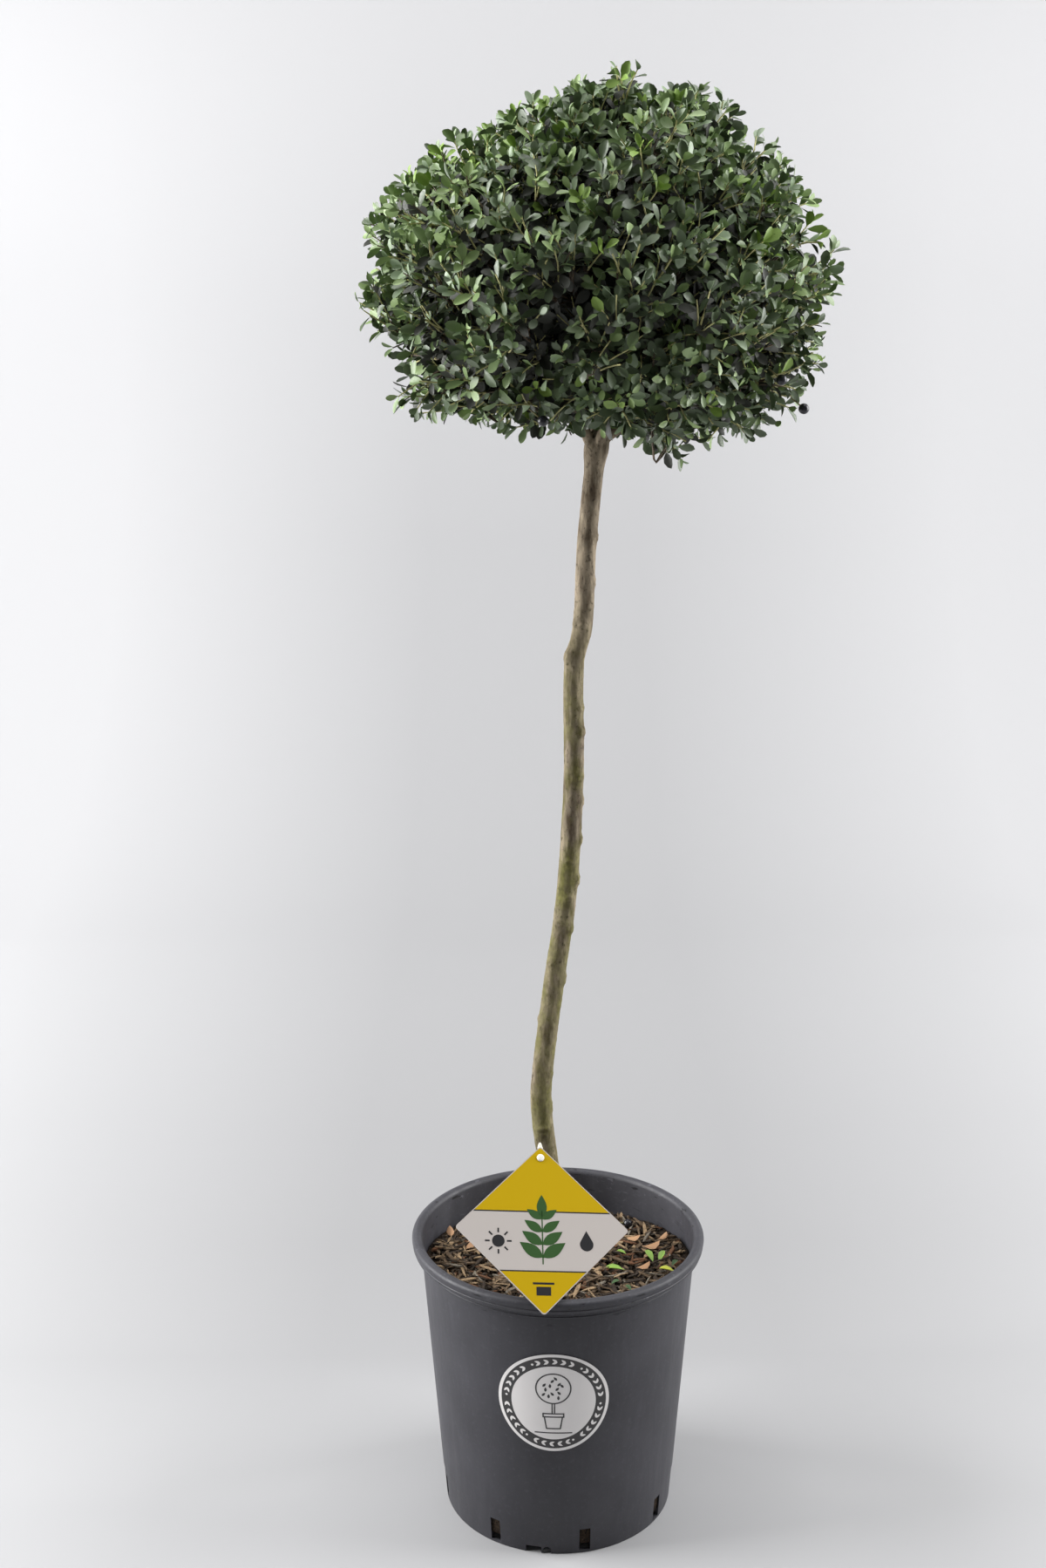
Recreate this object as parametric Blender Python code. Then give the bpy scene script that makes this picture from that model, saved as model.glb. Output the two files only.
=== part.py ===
"""A small-leaved evergreen trained as a standard: a clipped head on a clear stem, in its nursery pot.

Metres, +Z up, the origin under the middle of the pot. The front, with the label and the sticker, faces -Y.
Every node is one closed solid. Solids that touch on the real plant keep GAP between them.
"""

import math
import random

import bmesh
import bpy
from mathutils import Matrix, Vector

GAP = 0.0003

# Pot
POT_HEIGHT = 0.316
RIM_RADIUS = 0.160
RIM_BAND = 0.015
RIM_SKIN = 0.0022
RIM_OUTER_ROUND = 0.004
RIM_INNER_ROUND = 0.003
WALL_TOP_RADIUS = 0.150
FOOT_RADIUS = 0.1268
WALL = 0.0022
FLOOR = 0.0025
FOOT_RING = 0.0032
CHANNEL_INNER_RADIUS = 0.097
CHANNEL_HEIGHT = 0.008
CHANNEL_SLOPE = 0.0015
POT_SEGMENTS = 56

# Drainage: slots in the foot of the wall, and two notches in the foot ring, midway between slots
SLOTS = 8
FIRST_SLOT = math.radians(12)
SLOT_WIDTH = 0.012
SLOT_LOW, SLOT_HIGH = 0.003, 0.030
NOTCHES = 2
FIRST_NOTCH = math.radians(-10.5)
NOTCH_WIDTH = 0.028
NOTCH_HEIGHT = 0.009
CUT_DEPTH = 0.014

# Potting mix
MIX_LEVEL = 0.278
MIX_BACK_DROP = 0.008
MIX_SIDE_RISE = 0.009
MIX_LUMP = 0.0016
MIX_WAVES_RIGHT, MIX_WAVES_BACK = 61, 47
MIX_RINGS = (0.24, 0.45, 0.65, 0.84, 1.0)
MIX_SEGMENTS = 30
COLLAR_LEVEL = 0.280

# Trunk: its bends as (height, right, back), from the collar to the fork
TRUNK_BENDS = (
    (0.2803, -0.0010, 0.000),
    (0.350, -0.0050, 0.001),
    (0.434, -0.0153, 0.002),
    (0.480, -0.0179, 0.002),
    (0.592, -0.0051, 0.003),
    (0.697, 0.0092, 0.002),
    (0.830, 0.0167, -0.002),
    (0.947, 0.0170, -0.004),
    (0.982, 0.0252, -0.003),
    (1.068, 0.0295, -0.002),
    (1.163, 0.0390, 0.000),
    (1.184, 0.0430, 0.000),
)
TRUNK_LOW_RADIUS = 0.0118
TRUNK_HIGH_RADIUS = 0.0096
FLARE, FLARE_HEIGHT = 0.0034, 0.016
FORK_SWELL, FORK_HEIGHT, FORK_SPREAD = 0.0030, 1.162, 0.014
TRUNK_END_RADIUS = 0.0082
TRUNK_LUMP = 0.0005
TRUNK_RINGS = 36
TRUNK_SIDES = 12
RING_CROWDING = 0.09
LUMP_TURN = 5.3

# Crown: a clipped dome, fuller below its widest level, its top set a little to the right
CROWN_CENTRE = Vector((0.039, 0.0, 1.315))
CROWN_RADIUS = 0.234
CROWN_RISE = 0.199
CROWN_DROP = 0.158
DOME_POWER = 1.8
UNDERSIDE_POWER = 2.4
DOME_SHIFT, DOME_SHIFT_FROM, DOME_SHIFT_OVER = 0.022, 1.385, 0.10
CROWN_LUMPS = ((2, 0.4, 0.010), (3, 1.9, 0.012), (5, 0.7, 0.008))

# The fork sits in a hollow that the masses of foliage leave free
HOLLOW_CENTRE = Vector((0.043, 0.0, 1.196))
HOLLOW_RADIUS = 0.060

# Boughs: name, turn from the right towards the back, rise from level, start on the trunk
BOUGHS = (
    ("right", 0, 12, 1.169),
    ("back_right", 72, 34, 1.159),
    ("back_left", 144, 26, 1.163),
    ("front_left", 216, 32, 1.158),
    ("front_right", 288, 28, 1.162),
    ("top", 0, 86, 1.184),
)
BOUGH_BASE_RADIUS = 0.0056
LEADER_BASE_RADIUS = 0.0066
BOUGH_TIP_RADIUS = 0.0036
BOUGH_SIDES = 8
BOUGH_RINGS = 6
BOUGH_SAG = 0.006

# Masses of foliage: a ring of five and one on top, each in its own space
MASS_SPREAD = 0.142
MASS_LEVEL = 0.0
TOP_MASS_LEVEL = 0.075
MASS_MARGIN = 0.0008
CORE_DEPTH = 0.034
CORE_TURNS, CORE_LEVELS = 28, 14
STEM_SIDES = 6
STEM_STRAIGHT = 0.010

# Sprigs: twigs from a mass's heart, each with leaves that spiral down from its end
SEED = 17
SPRIGS = 116
SPRIG_JITTER = 0.003
TWIG_TIP_DEPTH = 0.024
TWIG_STRAIGHT = 0.026
TWIG_BASE_RADIUS = 0.0030
TWIG_TIP_RADIUS = 0.0026
LEAF_LENGTH = 0.046
LEAF_WIDTH = 0.027
LEAF_THICKNESS = 0.0014
LEAF_FOLD = 0.0035
LEAF_SUNK = 0.0008
LEAF_LENGTH_JITTER = 0.10
LEAF_JITTER = math.radians(5)
LEAF_SPIRAL = math.radians(137.5)
# Each leaf of a sprig: its depth under the crown's surface and its angle to the twig
SPRIG_LEAVES = (
    (0.0250, math.radians(53)),
    (0.0264, math.radians(63)),
    (0.0278, math.radians(71)),
    (0.0292, math.radians(78)),
)
TURN_TRIES = 9
TURN_STEP = math.radians(20)
TRUNK_CLEARANCE = 0.016

# Label card on its pin, leaning over the front of the rim
CARD_SIDE = 0.1287
CARD_CORNER = 0.003
CARD_THICKNESS = 0.0008
CARD_TOP_CORNER = Vector((-0.0194, -0.0363, 0.4305))
CARD_LEAN = math.radians(47.4)
CARD_YAW = math.radians(10.35)
CARD_ROLL = math.radians(-6.86)
HOLE_RADIUS = 0.0023
HOLE_FROM_CORNER = 0.0130
PIN_WIDTH = 0.006
PIN_THICKNESS = 0.0018
PIN_TIP_OVER_CORNER = 0.0050
PIN_SHOULDER = 0.75
PIN_BEND_UNDER_HOLE = 0.012
PIN_KNEE = Vector((0.0, 0.004, -0.008))
PIN_IN_MIX = 0.040
PIN_POINT = 0.012
PIN_FOOT_SHARE, PIN_TIP_SHARE = 0.3, 0.35
BUTTON_RADIUS = 0.0040
BUTTON_THICKNESS = 0.0012
BUTTON_EDGE = 0.7
SHANK_RADIUS = 0.0018

# Round sticker on the pot
STICKER_RADIUS = 0.059
STICKER_HEIGHT = 0.1912
STICKER_TURN = math.radians(-3)
STICKER_THICKNESS = 0.0005
STICKER_SEGMENTS = 36

# Colour, roughness and metallic value of each finish
FINISHES = {
    "pot_plastic": ((0.040, 0.041, 0.047), 0.48, 0.0),
    "potting_mix": ((0.060, 0.038, 0.024), 0.95, 0.0),
    "bark": ((0.24, 0.21, 0.13), 0.85, 0.0),
    "leaves": ((0.022, 0.060, 0.020), 0.45, 0.0),
    "card": ((0.80, 0.62, 0.02), 0.40, 0.0),
    "pin_plastic": ((0.85, 0.85, 0.83), 0.40, 0.0),
    "sticker": ((0.80, 0.80, 0.80), 0.45, 0.0),
}

UP = Vector((0.0, 0.0, 1.0))


def clear_scene():
    for obj in list(bpy.data.objects):
        bpy.data.objects.remove(obj)


def finish(name):
    """The named material, made on its first use."""
    material = bpy.data.materials.get(name)
    if material is None:
        colour, roughness, metallic = FINISHES[name]
        material = bpy.data.materials.new(name)
        material.use_nodes = True
        shader = material.node_tree.nodes["Principled BSDF"]
        shader.inputs["Base Color"].default_value = (*colour, 1.0)
        shader.inputs["Roughness"].default_value = roughness
        shader.inputs["Metallic"].default_value = metallic
    return material


def solid(name, points, faces, material):
    """An object from points and faces, with its normals made to point out."""
    mesh = bpy.data.meshes.new(name)
    mesh.from_pydata([tuple(point) for point in points], [], faces)
    outward = bmesh.new()
    outward.from_mesh(mesh)
    bmesh.ops.recalc_face_normals(outward, faces=outward.faces)
    outward.to_mesh(mesh)
    outward.free()
    mesh.materials.append(finish(material))
    obj = bpy.data.objects.new(name, mesh)
    bpy.context.scene.collection.objects.link(obj)
    return obj


def smooth(obj, angle=35):
    obj.data.shade_smooth()
    obj.data.set_sharp_from_angle(angle=math.radians(angle))


def as_cutter(obj):
    obj.hide_render = True
    obj.display_type = "WIRE"
    return obj


def cut(obj, cutter):
    boolean = obj.modifiers.new("cut", "BOOLEAN")
    boolean.operation = "DIFFERENCE"
    boolean.object = as_cutter(cutter)


def skinned(rings):
    """Points and faces of a solid through closed rings of equal length, its ends capped flat."""
    count = len(rings[0])
    points = [point for ring in rings for point in ring]
    faces = [tuple(reversed(range(count)))]
    for low in range(0, (len(rings) - 1) * count, count):
        for i in range(count):
            j = (i + 1) % count
            faces.append((low + i, low + j, low + count + j, low + count + i))
    faces.append(tuple(range(len(points) - count, len(points))))
    return points, faces


def turned(profile, segments):
    """Points and faces of a profile of (radius, height) turned about Z. Both its ends lie on the axis."""
    points = [(0.0, 0.0, profile[0][1])]
    for radius, height in profile[1:-1]:
        for i in range(segments):
            angle = math.tau * i / segments
            points.append((radius * math.cos(angle), radius * math.sin(angle), height))
    points.append((0.0, 0.0, profile[-1][1]))
    last = len(points) - 1
    top_ring = last - segments
    faces = []
    for i in range(segments):
        j = (i + 1) % segments
        faces.append((0, 1 + j, 1 + i))
        for low in range(1, top_ring, segments):
            faces.append((low + i, low + j, low + segments + j, low + segments + i))
        faces.append((last, top_ring + i, top_ring + j))
    return points, faces


def arc(radius, height, size, start, end, steps):
    """Profile points on an arc about (radius, height), from one angle to the other in degrees."""
    found = []
    for i in range(steps + 1):
        angle = math.radians(start + (end - start) * i / steps)
        found.append((radius + size * math.cos(angle), height + size * math.sin(angle)))
    return found


def circle(centre, axis, radius, sides, spin=0.0):
    """A ring of points about an axis. Its first point lies away from +X, turned by spin."""
    side = axis.cross(Vector((1.0, 0.0, 0.0)))
    if side.length < 0.1:
        side = axis.cross(Vector((0.0, 1.0, 0.0)))
    side.normalize()
    across = axis.cross(side).normalized()
    ring = []
    for i in range(sides):
        angle = spin + math.tau * i / sides
        ring.append(centre + radius * (math.cos(angle) * side + math.sin(angle) * across))
    return ring


# The pot ---------------------------------------------------------------------


def wall_radius(height):
    """Outer radius of the pot's wall."""
    under_lip = POT_HEIGHT - RIM_BAND
    return FOOT_RADIUS + (WALL_TOP_RADIUS - FOOT_RADIUS) * height / under_lip


def floor_profile(lift):
    """The stepped floor from the axis to the channel's inner side, raised by lift."""
    step = CHANNEL_INNER_RADIUS
    return [(0.0, lift), (step, lift), (step + CHANNEL_SLOPE, lift + CHANNEL_HEIGHT)]


def pot_profile():
    band = POT_HEIGHT - RIM_BAND
    lip_ceiling = POT_HEIGHT - RIM_SKIN - RIM_INNER_ROUND
    ring_inside = FOOT_RADIUS - FOOT_RING
    inner_radius = wall_radius(lip_ceiling) - WALL
    floor_top = CHANNEL_HEIGHT + FLOOR
    profile = floor_profile(0.0)
    profile += [(ring_inside - CHANNEL_SLOPE, CHANNEL_HEIGHT), (ring_inside, 0.0), (FOOT_RADIUS, 0.0)]
    profile += [(wall_radius(lip_ceiling), lip_ceiling), (RIM_RADIUS - RIM_SKIN, lip_ceiling)]
    profile += [(RIM_RADIUS - RIM_SKIN, band), (RIM_RADIUS, band)]
    profile += arc(RIM_RADIUS - RIM_OUTER_ROUND, POT_HEIGHT - RIM_OUTER_ROUND, RIM_OUTER_ROUND, 0, 90, 3)
    profile += arc(inner_radius + RIM_INNER_ROUND, POT_HEIGHT - RIM_INNER_ROUND, RIM_INNER_ROUND, 90, 180, 2)
    profile += [(wall_radius(floor_top) - WALL, floor_top)]
    profile += reversed(floor_profile(FLOOR))
    return profile


def cutting_block(turn, width, low, high):
    """A block that crosses the foot of the wall at this turn from the front, towards the right."""
    outward = Vector((math.sin(turn), -math.cos(turn), 0.0))
    along = UP.cross(outward)
    middle = outward * (FOOT_RADIUS - FOOT_RING)
    points = []
    for height in (low, high):
        for side, reach in ((-1, -1), (1, -1), (1, 1), (-1, 1)):
            points.append(middle + along * side * width / 2 + outward * reach * CUT_DEPTH / 2 + UP * height)
    return skinned([points[:4], points[4:]])


def make_pot():
    pot = solid("pot", *turned(pot_profile(), POT_SEGMENTS), "pot_plastic")
    smooth(pot)
    blocks = []
    for i in range(SLOTS):
        blocks.append(cutting_block(FIRST_SLOT + math.tau * i / SLOTS, SLOT_WIDTH, SLOT_LOW, SLOT_HIGH))
    for i in range(NOTCHES):
        turn = FIRST_NOTCH + math.tau * i / NOTCHES
        blocks.append(cutting_block(turn, NOTCH_WIDTH, -NOTCH_HEIGHT, NOTCH_HEIGHT))
    points, faces = [], []
    for block_points, block_faces in blocks:
        start = len(points)
        points += block_points
        faces += [tuple(start + corner for corner in face) for face in block_faces]
    cut(pot, solid("drainage_cutter", points, faces, "pot_plastic"))


# The potting mix -------------------------------------------------------------


def mix_height(right, back):
    """Height of the mix: low at the back, heaped at the sides, level round the trunk."""
    rim = wall_radius(MIX_LEVEL)
    out = math.hypot(right, back) / rim
    height = MIX_LEVEL - MIX_BACK_DROP * max(0.0, back / rim) + MIX_SIDE_RISE * (right / rim) ** 2
    height += MIX_LUMP * math.sin(MIX_WAVES_RIGHT * right + 1.0) * math.cos(MIX_WAVES_BACK * back - 0.6)
    blend = min(1.0, max(0.0, (out - MIX_RINGS[0]) / (MIX_RINGS[1] - MIX_RINGS[0])))
    return COLLAR_LEVEL + (height - COLLAR_LEVEL) * blend


def make_potting_mix():
    clear = WALL + 2 * GAP
    level = wall_radius(MIX_LEVEL) - clear
    profile = floor_profile(FLOOR + GAP)
    profile[1] = (profile[1][0] - GAP, profile[1][1])
    profile[2] = (profile[2][0] - GAP, profile[2][1])
    profile.append((wall_radius(profile[2][1]) - clear, profile[2][1]))
    bottom_points = len(profile) - 1
    profile += [(level * share, MIX_LEVEL) for share in reversed(MIX_RINGS)]
    profile.append((0.0, COLLAR_LEVEL))
    points, faces = turned(profile, MIX_SEGMENTS)
    first_top = 1 + bottom_points * MIX_SEGMENTS
    for i in range(first_top, len(points) - 1):
        right, back, _ = points[i]
        height = mix_height(right, back)
        shrink = (wall_radius(height) - clear) / level
        points[i] = (right * shrink, back * shrink, height)
    smooth(solid("potting_mix", points, faces, "potting_mix"))


# The trunk -------------------------------------------------------------------


def trunk_centre(height):
    """Centre of the trunk at a height: a smooth curve through its bends."""
    bends = TRUNK_BENDS
    span = 0
    while span < len(bends) - 2 and height > bends[span + 1][0]:
        span += 1
    before, start, end, after = (bends[min(max(span + i, 0), len(bends) - 1)] for i in (-1, 0, 1, 2))
    length = end[0] - start[0]
    t = (height - start[0]) / length
    place = []
    for axis in (1, 2):
        leaving = (end[axis] - before[axis]) / (end[0] - before[0]) * length
        arriving = (after[axis] - start[axis]) / (after[0] - start[0]) * length
        value = (2 * t**3 - 3 * t**2 + 1) * start[axis] + (t**3 - 2 * t**2 + t) * leaving
        value += (3 * t**2 - 2 * t**3) * end[axis] + (t**3 - t**2) * arriving
        place.append(value)
    return Vector((place[0], place[1], height))


def trunk_radius(height):
    foot, top = TRUNK_BENDS[0][0], TRUNK_BENDS[-1][0]
    rise = (height - foot) / (top - foot)
    radius = TRUNK_LOW_RADIUS + (TRUNK_HIGH_RADIUS - TRUNK_LOW_RADIUS) * rise
    radius += FLARE * math.exp(-(height - foot) / FLARE_HEIGHT)
    radius += FORK_SWELL * math.exp(-(((height - FORK_HEIGHT) / FORK_SPREAD) ** 2))
    over_fork = max(0.0, height - FORK_HEIGHT) / (top - FORK_HEIGHT)
    return radius + (TRUNK_END_RADIUS - radius) * over_fork**2


def trunk_solid(name, grown=0.0):
    """The trunk, or the trunk grown by a clearance, to trim what grows from it."""
    foot, top = TRUNK_BENDS[0][0], TRUNK_BENDS[-1][0]
    rings = []
    for i in range(TRUNK_RINGS):
        rise = i / (TRUNK_RINGS - 1)
        # Rings lie closer together in the flare and in the fork
        height = foot + (top - foot) * (rise - RING_CROWDING * math.sin(math.tau * rise))
        radius = trunk_radius(height) + TRUNK_LUMP * math.sin(LUMP_TURN * i) * math.sin(math.pi * rise)
        centre = trunk_centre(height)
        if i == TRUNK_RINGS - 1:
            centre.z += grown
        rings.append(circle(centre, UP, radius + grown, TRUNK_SIDES))
    trunk = solid(name, *skinned(rings), "bark")
    smooth(trunk, 50)
    return trunk


# The crown's shape -----------------------------------------------------------


def crown_level(point, depth=0.0):
    """Under 1 inside the crown, 1 on its surface, for a crown made smaller by depth all round."""
    over = min(1.0, max(0.0, (point.z - DOME_SHIFT_FROM) / DOME_SHIFT_OVER))
    shift = DOME_SHIFT * over * over * (3 - 2 * over)
    right = point.x - CROWN_CENTRE.x - shift
    back = point.y - CROWN_CENTRE.y
    turn = math.atan2(back, right)
    radius = CROWN_RADIUS - depth
    for waves, phase, share in CROWN_LUMPS:
        radius *= 1 + share * math.sin(waves * turn + phase)
    out = math.hypot(right, back) / radius
    height = point.z - CROWN_CENTRE.z
    reach, power = (CROWN_RISE, DOME_POWER) if height > 0 else (CROWN_DROP, UNDERSIDE_POWER)
    return (out**power + (abs(height) / (reach - depth)) ** power) ** (1 / power)


def crown_reach(start, direction, depth=0.0):
    """How far the crown's surface lies from a point inside it."""
    near, far = 0.0, 2 * CROWN_RADIUS
    for _ in range(24):
        middle = (near + far) / 2
        if crown_level(start + direction * middle, depth) < 1:
            near = middle
        else:
            far = middle
    return near


def crown_normal(point):
    """About the way that the crown's surface faces at a point."""
    offset = point - CROWN_CENTRE
    reach = CROWN_RISE if offset.z > 0 else CROWN_DROP
    return Vector((offset.x, offset.y, offset.z * (CROWN_RADIUS / reach) ** 2)).normalized()


def mass_hearts():
    """The heart of each mass, by name: five round the crown and one above them."""
    hearts = {}
    for name, turn, _, _ in BOUGHS:
        angle = math.radians(turn)
        out = Vector((math.cos(angle), math.sin(angle), 0.0)) * MASS_SPREAD
        hearts[name] = CROWN_CENTRE + out + UP * MASS_LEVEL
    hearts["top"] = CROWN_CENTRE + Vector((DOME_SHIFT / 2, 0.0, TOP_MASS_LEVEL))
    return hearts


def mass_walls(name, hearts):
    """(point, outward direction) of each plane that parts this mass's space from another's."""
    walls = []
    for other, heart in hearts.items():
        if other != name:
            away = (heart - hearts[name]).normalized()
            walls.append(((heart + hearts[name]) / 2 - away * MASS_MARGIN, away))
    return walls


def in_space(point, walls, clear=0.0):
    """Whether a point lies in a mass's space, clear of its walls, outside the hollow and off the trunk."""
    if any((point - place).dot(away) > -clear for place, away in walls):
        return False
    if (point - HOLLOW_CENTRE).length < HOLLOW_RADIUS + 2 * MASS_MARGIN:
        return False
    if point.z > TRUNK_BENDS[-1][0]:
        return True
    centre = trunk_centre(point.z)
    return math.hypot(point.x - centre.x, point.y - centre.y) > TRUNK_CLEARANCE


# Boughs and foliage ----------------------------------------------------------


def bough_direction(turn, rise):
    turn, rise = math.radians(turn), math.radians(rise)
    level = Vector((math.cos(turn), math.sin(turn), 0.0)) * math.cos(rise)
    return level + UP * math.sin(rise)


def bough_tip(turn, rise):
    """Where a bough ends, just inside the hollow's edge, and the way it points there."""
    direction = bough_direction(turn, rise)
    return HOLLOW_CENTRE + direction * (HOLLOW_RADIUS - BOUGH_SAG), direction


def make_bough(name, turn, rise, height):
    """One tapering limb from the trunk, trimmed to the trunk's surface."""
    tip, direction = bough_tip(turn, rise)
    start = trunk_centre(height)
    middle = (start + tip) / 2 - UP * BOUGH_SAG
    leader = name == "top"
    if leader:
        start = trunk_centre(TRUNK_BENDS[-1][0]) + UP * GAP
        middle = (start + tip) / 2
    base = LEADER_BASE_RADIUS if leader else BOUGH_BASE_RADIUS
    rings = []
    for i in range(BOUGH_RINGS):
        t = i / (BOUGH_RINGS - 1)
        centre = (1 - t) ** 2 * start + 2 * t * (1 - t) * middle + t**2 * tip
        along = ((1 - t) * (middle - start) + t * (tip - middle)).normalized()
        if leader and i == 0:
            along = UP
        if i == BOUGH_RINGS - 1:
            along = direction
        rings.append(circle(centre, along, base + (BOUGH_TIP_RADIUS - base) * t, BOUGH_SIDES))
    bough = solid("bough_" + name, *skinned(rings), "bark")
    smooth(bough, 50)
    return bough


def make_trunk_and_boughs():
    trunk_solid("trunk")
    clearance = trunk_solid("trunk_clearance", grown=GAP)
    for name, turn, rise, height in BOUGHS:
        bough = make_bough(name, turn, rise, height)
        if name != "top":
            cut(bough, clearance)


def core_solid(name, walls):
    """The dense middle of a mass: the crown's inner shape, cut down to the mass's space."""
    body = bmesh.new()
    bmesh.ops.create_uvsphere(body, u_segments=CORE_TURNS, v_segments=CORE_LEVELS, radius=1.0)
    for vertex in body.verts:
        direction = vertex.co.normalized()
        vertex.co = CROWN_CENTRE + direction * crown_reach(CROWN_CENTRE, direction, CORE_DEPTH)
    for place, away in walls:
        everything = body.verts[:] + body.edges[:] + body.faces[:]
        found = bmesh.ops.bisect_plane(
            body, geom=everything, plane_co=place, plane_no=away, clear_outer=True
        )
        rim = [edge for edge in found["geom_cut"] if isinstance(edge, bmesh.types.BMEdge)]
        bmesh.ops.edgeloop_fill(body, edges=rim)
    bmesh.ops.recalc_face_normals(body, faces=body.faces)
    mesh = bpy.data.meshes.new(name)
    body.to_mesh(mesh)
    body.free()
    mesh.materials.append(finish("leaves"))
    core = bpy.data.objects.new(name, mesh)
    bpy.context.scene.collection.objects.link(core)
    return core


def hollow_solid():
    """The space round the fork, which is cut from the cores."""
    ball = bmesh.new()
    bmesh.ops.create_icosphere(ball, subdivisions=2, radius=HOLLOW_RADIUS + 2 * MASS_MARGIN)
    bmesh.ops.translate(ball, verts=ball.verts, vec=HOLLOW_CENTRE)
    mesh = bpy.data.meshes.new("hollow")
    ball.to_mesh(mesh)
    ball.free()
    hollow = bpy.data.objects.new("hollow", mesh)
    bpy.context.scene.collection.objects.link(hollow)
    return hollow


def stem(start, direction, heart):
    """The stem of a mass: on from its bough's tip, face to face, and then to the heart."""
    rings = [circle(start, direction, BOUGH_TIP_RADIUS, STEM_SIDES)]
    bend = start + direction * STEM_STRAIGHT
    onward = (heart - bend).normalized()
    rings.append(circle(bend, (direction + onward).normalized(), BOUGH_TIP_RADIUS, STEM_SIDES))
    rings.append(circle(heart, onward, TWIG_BASE_RADIUS, STEM_SIDES))
    return solid("stem", *skinned(rings), "leaves")


def twig(heart, tip, axis):
    """A three-sided twig from a mass's heart that comes out of the crown along this axis."""
    elbow = tip - axis * TWIG_STRAIGHT
    onward = (elbow - heart).normalized()
    rings = [circle(heart, onward, TWIG_BASE_RADIUS, 3)]
    rings.append(circle(elbow, (onward + axis).normalized(), TWIG_BASE_RADIUS, 3))
    rings.append(circle(tip, axis, TWIG_TIP_RADIUS, 3))
    return solid("twig", *skinned(rings), "leaves")


def leaf_points(root, along, upper, length):
    """Root, tip, both edges and the two sides of the midrib of one folded leaf."""
    across = along.cross(upper).normalized()
    middle = root + along * length * 0.5
    edge = middle + upper * LEAF_FOLD
    half_width = LEAF_WIDTH / 2 * length / LEAF_LENGTH
    return [
        root,
        root + along * length,
        edge + across * half_width,
        edge - across * half_width,
        middle + upper * LEAF_THICKNESS / 2,
        middle - upper * LEAF_THICKNESS / 2,
    ]


LEAF_FACES = ((0, 4, 2), (0, 3, 4), (1, 2, 4), (1, 4, 3), (0, 2, 5), (0, 5, 3), (1, 5, 2), (1, 3, 5))


def leaf_on(place, axis, angle, turn, length, walls):
    """A leaf that stands from a twig, turned by the least that keeps it in its mass's space, or None."""
    side = axis.cross(UP if abs(axis.z) < 0.9 else Vector((1.0, 0.0, 0.0))).normalized()
    for attempt in range(TURN_TRIES):
        swing = turn + (attempt + 1) // 2 * TURN_STEP * (-1) ** attempt
        outward = Matrix.Rotation(swing, 3, axis) @ side
        along = axis * math.cos(angle) + outward * math.sin(angle)
        upper = axis * math.sin(angle) - outward * math.cos(angle)
        points = leaf_points(place - along * LEAF_SUNK, along, upper, length)
        if all(in_space(point, walls) for point in points):
            return points
    return None


def sprig(heart, direction, walls, chance):
    """The twig and the leaves of one sprig, as overlapping closed pieces."""
    surface = CROWN_CENTRE + direction * crown_reach(CROWN_CENTRE, direction)
    depth = chance.uniform(-1, 1) * SPRIG_JITTER
    spin = chance.uniform(0, math.tau)
    axis = crown_normal(surface)
    tip = surface - axis * (TWIG_TIP_DEPTH + depth)
    leaves = []
    for i, (under, angle) in enumerate(SPRIG_LEAVES):
        turn = spin + i * LEAF_SPIRAL + chance.uniform(-1, 1) * LEAF_JITTER
        tilt = angle + chance.uniform(-1, 1) * LEAF_JITTER
        length = LEAF_LENGTH * (1 + chance.uniform(-1, 1) * LEAF_LENGTH_JITTER)
        leaves.append(leaf_on(surface - axis * (under + depth), axis, tilt, turn, length, walls))
    if not all(in_space(end, walls, TWIG_BASE_RADIUS) for end in (tip, tip - axis * TWIG_STRAIGHT)):
        return []
    found = [solid("leaf", points, LEAF_FACES, "leaves") for points in leaves if points]
    return [twig(heart, tip, axis)] + found


def furthest_leaf(direction, walls):
    """One leaf that stands straight out of the core and just reaches the crown's surface."""
    tip = CROWN_CENTRE + direction * crown_reach(CROWN_CENTRE, direction)
    root = tip - direction * LEAF_LENGTH
    upper = direction.cross(Vector((0.3, 0.5, 0.8))).normalized()
    points = leaf_points(root, direction, upper, LEAF_LENGTH)
    return [solid("leaf", points, LEAF_FACES, "leaves")] if all(in_space(p, walls) for p in points) else []


def sprig_directions():
    """Even directions all over the crown."""
    golden = math.pi * (3 - math.sqrt(5))
    directions = []
    for i in range(SPRIGS):
        height = 1 - 2 * (i + 0.5) / SPRIGS
        out = math.sqrt(1 - height**2)
        directions.append(Vector((out * math.cos(golden * i), out * math.sin(golden * i), height)))
    return directions


def make_foliage():
    """Each mass: a core, the stem that its bough feeds, and the sprigs that stand out of it."""
    hearts = mass_hearts()
    chance = random.Random(SEED)
    ends = [Vector((1, 0, 0)), Vector((-1, 0, 0)), Vector((0, 1, 0)), Vector((0, -1, 0))]
    ends.append(Vector((DOME_SHIFT, 0.0, CROWN_RISE)).normalized())
    hollow = as_cutter(hollow_solid())

    def nearest(direction):
        surface = CROWN_CENTRE + direction * crown_reach(CROWN_CENTRE, direction)
        return min(hearts, key=lambda name: (hearts[name] - surface).length)

    for name, turn, rise, _ in BOUGHS:
        heart, walls = hearts[name], mass_walls(name, hearts)
        core = core_solid("foliage_" + name, walls)
        tip, direction = bough_tip(turn, rise)
        pieces = [core, stem(tip + direction * GAP, direction, heart)]
        for direction in sprig_directions():
            if nearest(direction) == name:
                pieces += sprig(heart, direction, walls, chance)
        for direction in ends:
            if nearest(direction) == name:
                pieces += furthest_leaf(direction, walls)
        cut(core, hollow)
        core.modifiers["cut"].solver = "MANIFOLD"
        fuse(pieces)
    bpy.data.objects.remove(hollow)


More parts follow.
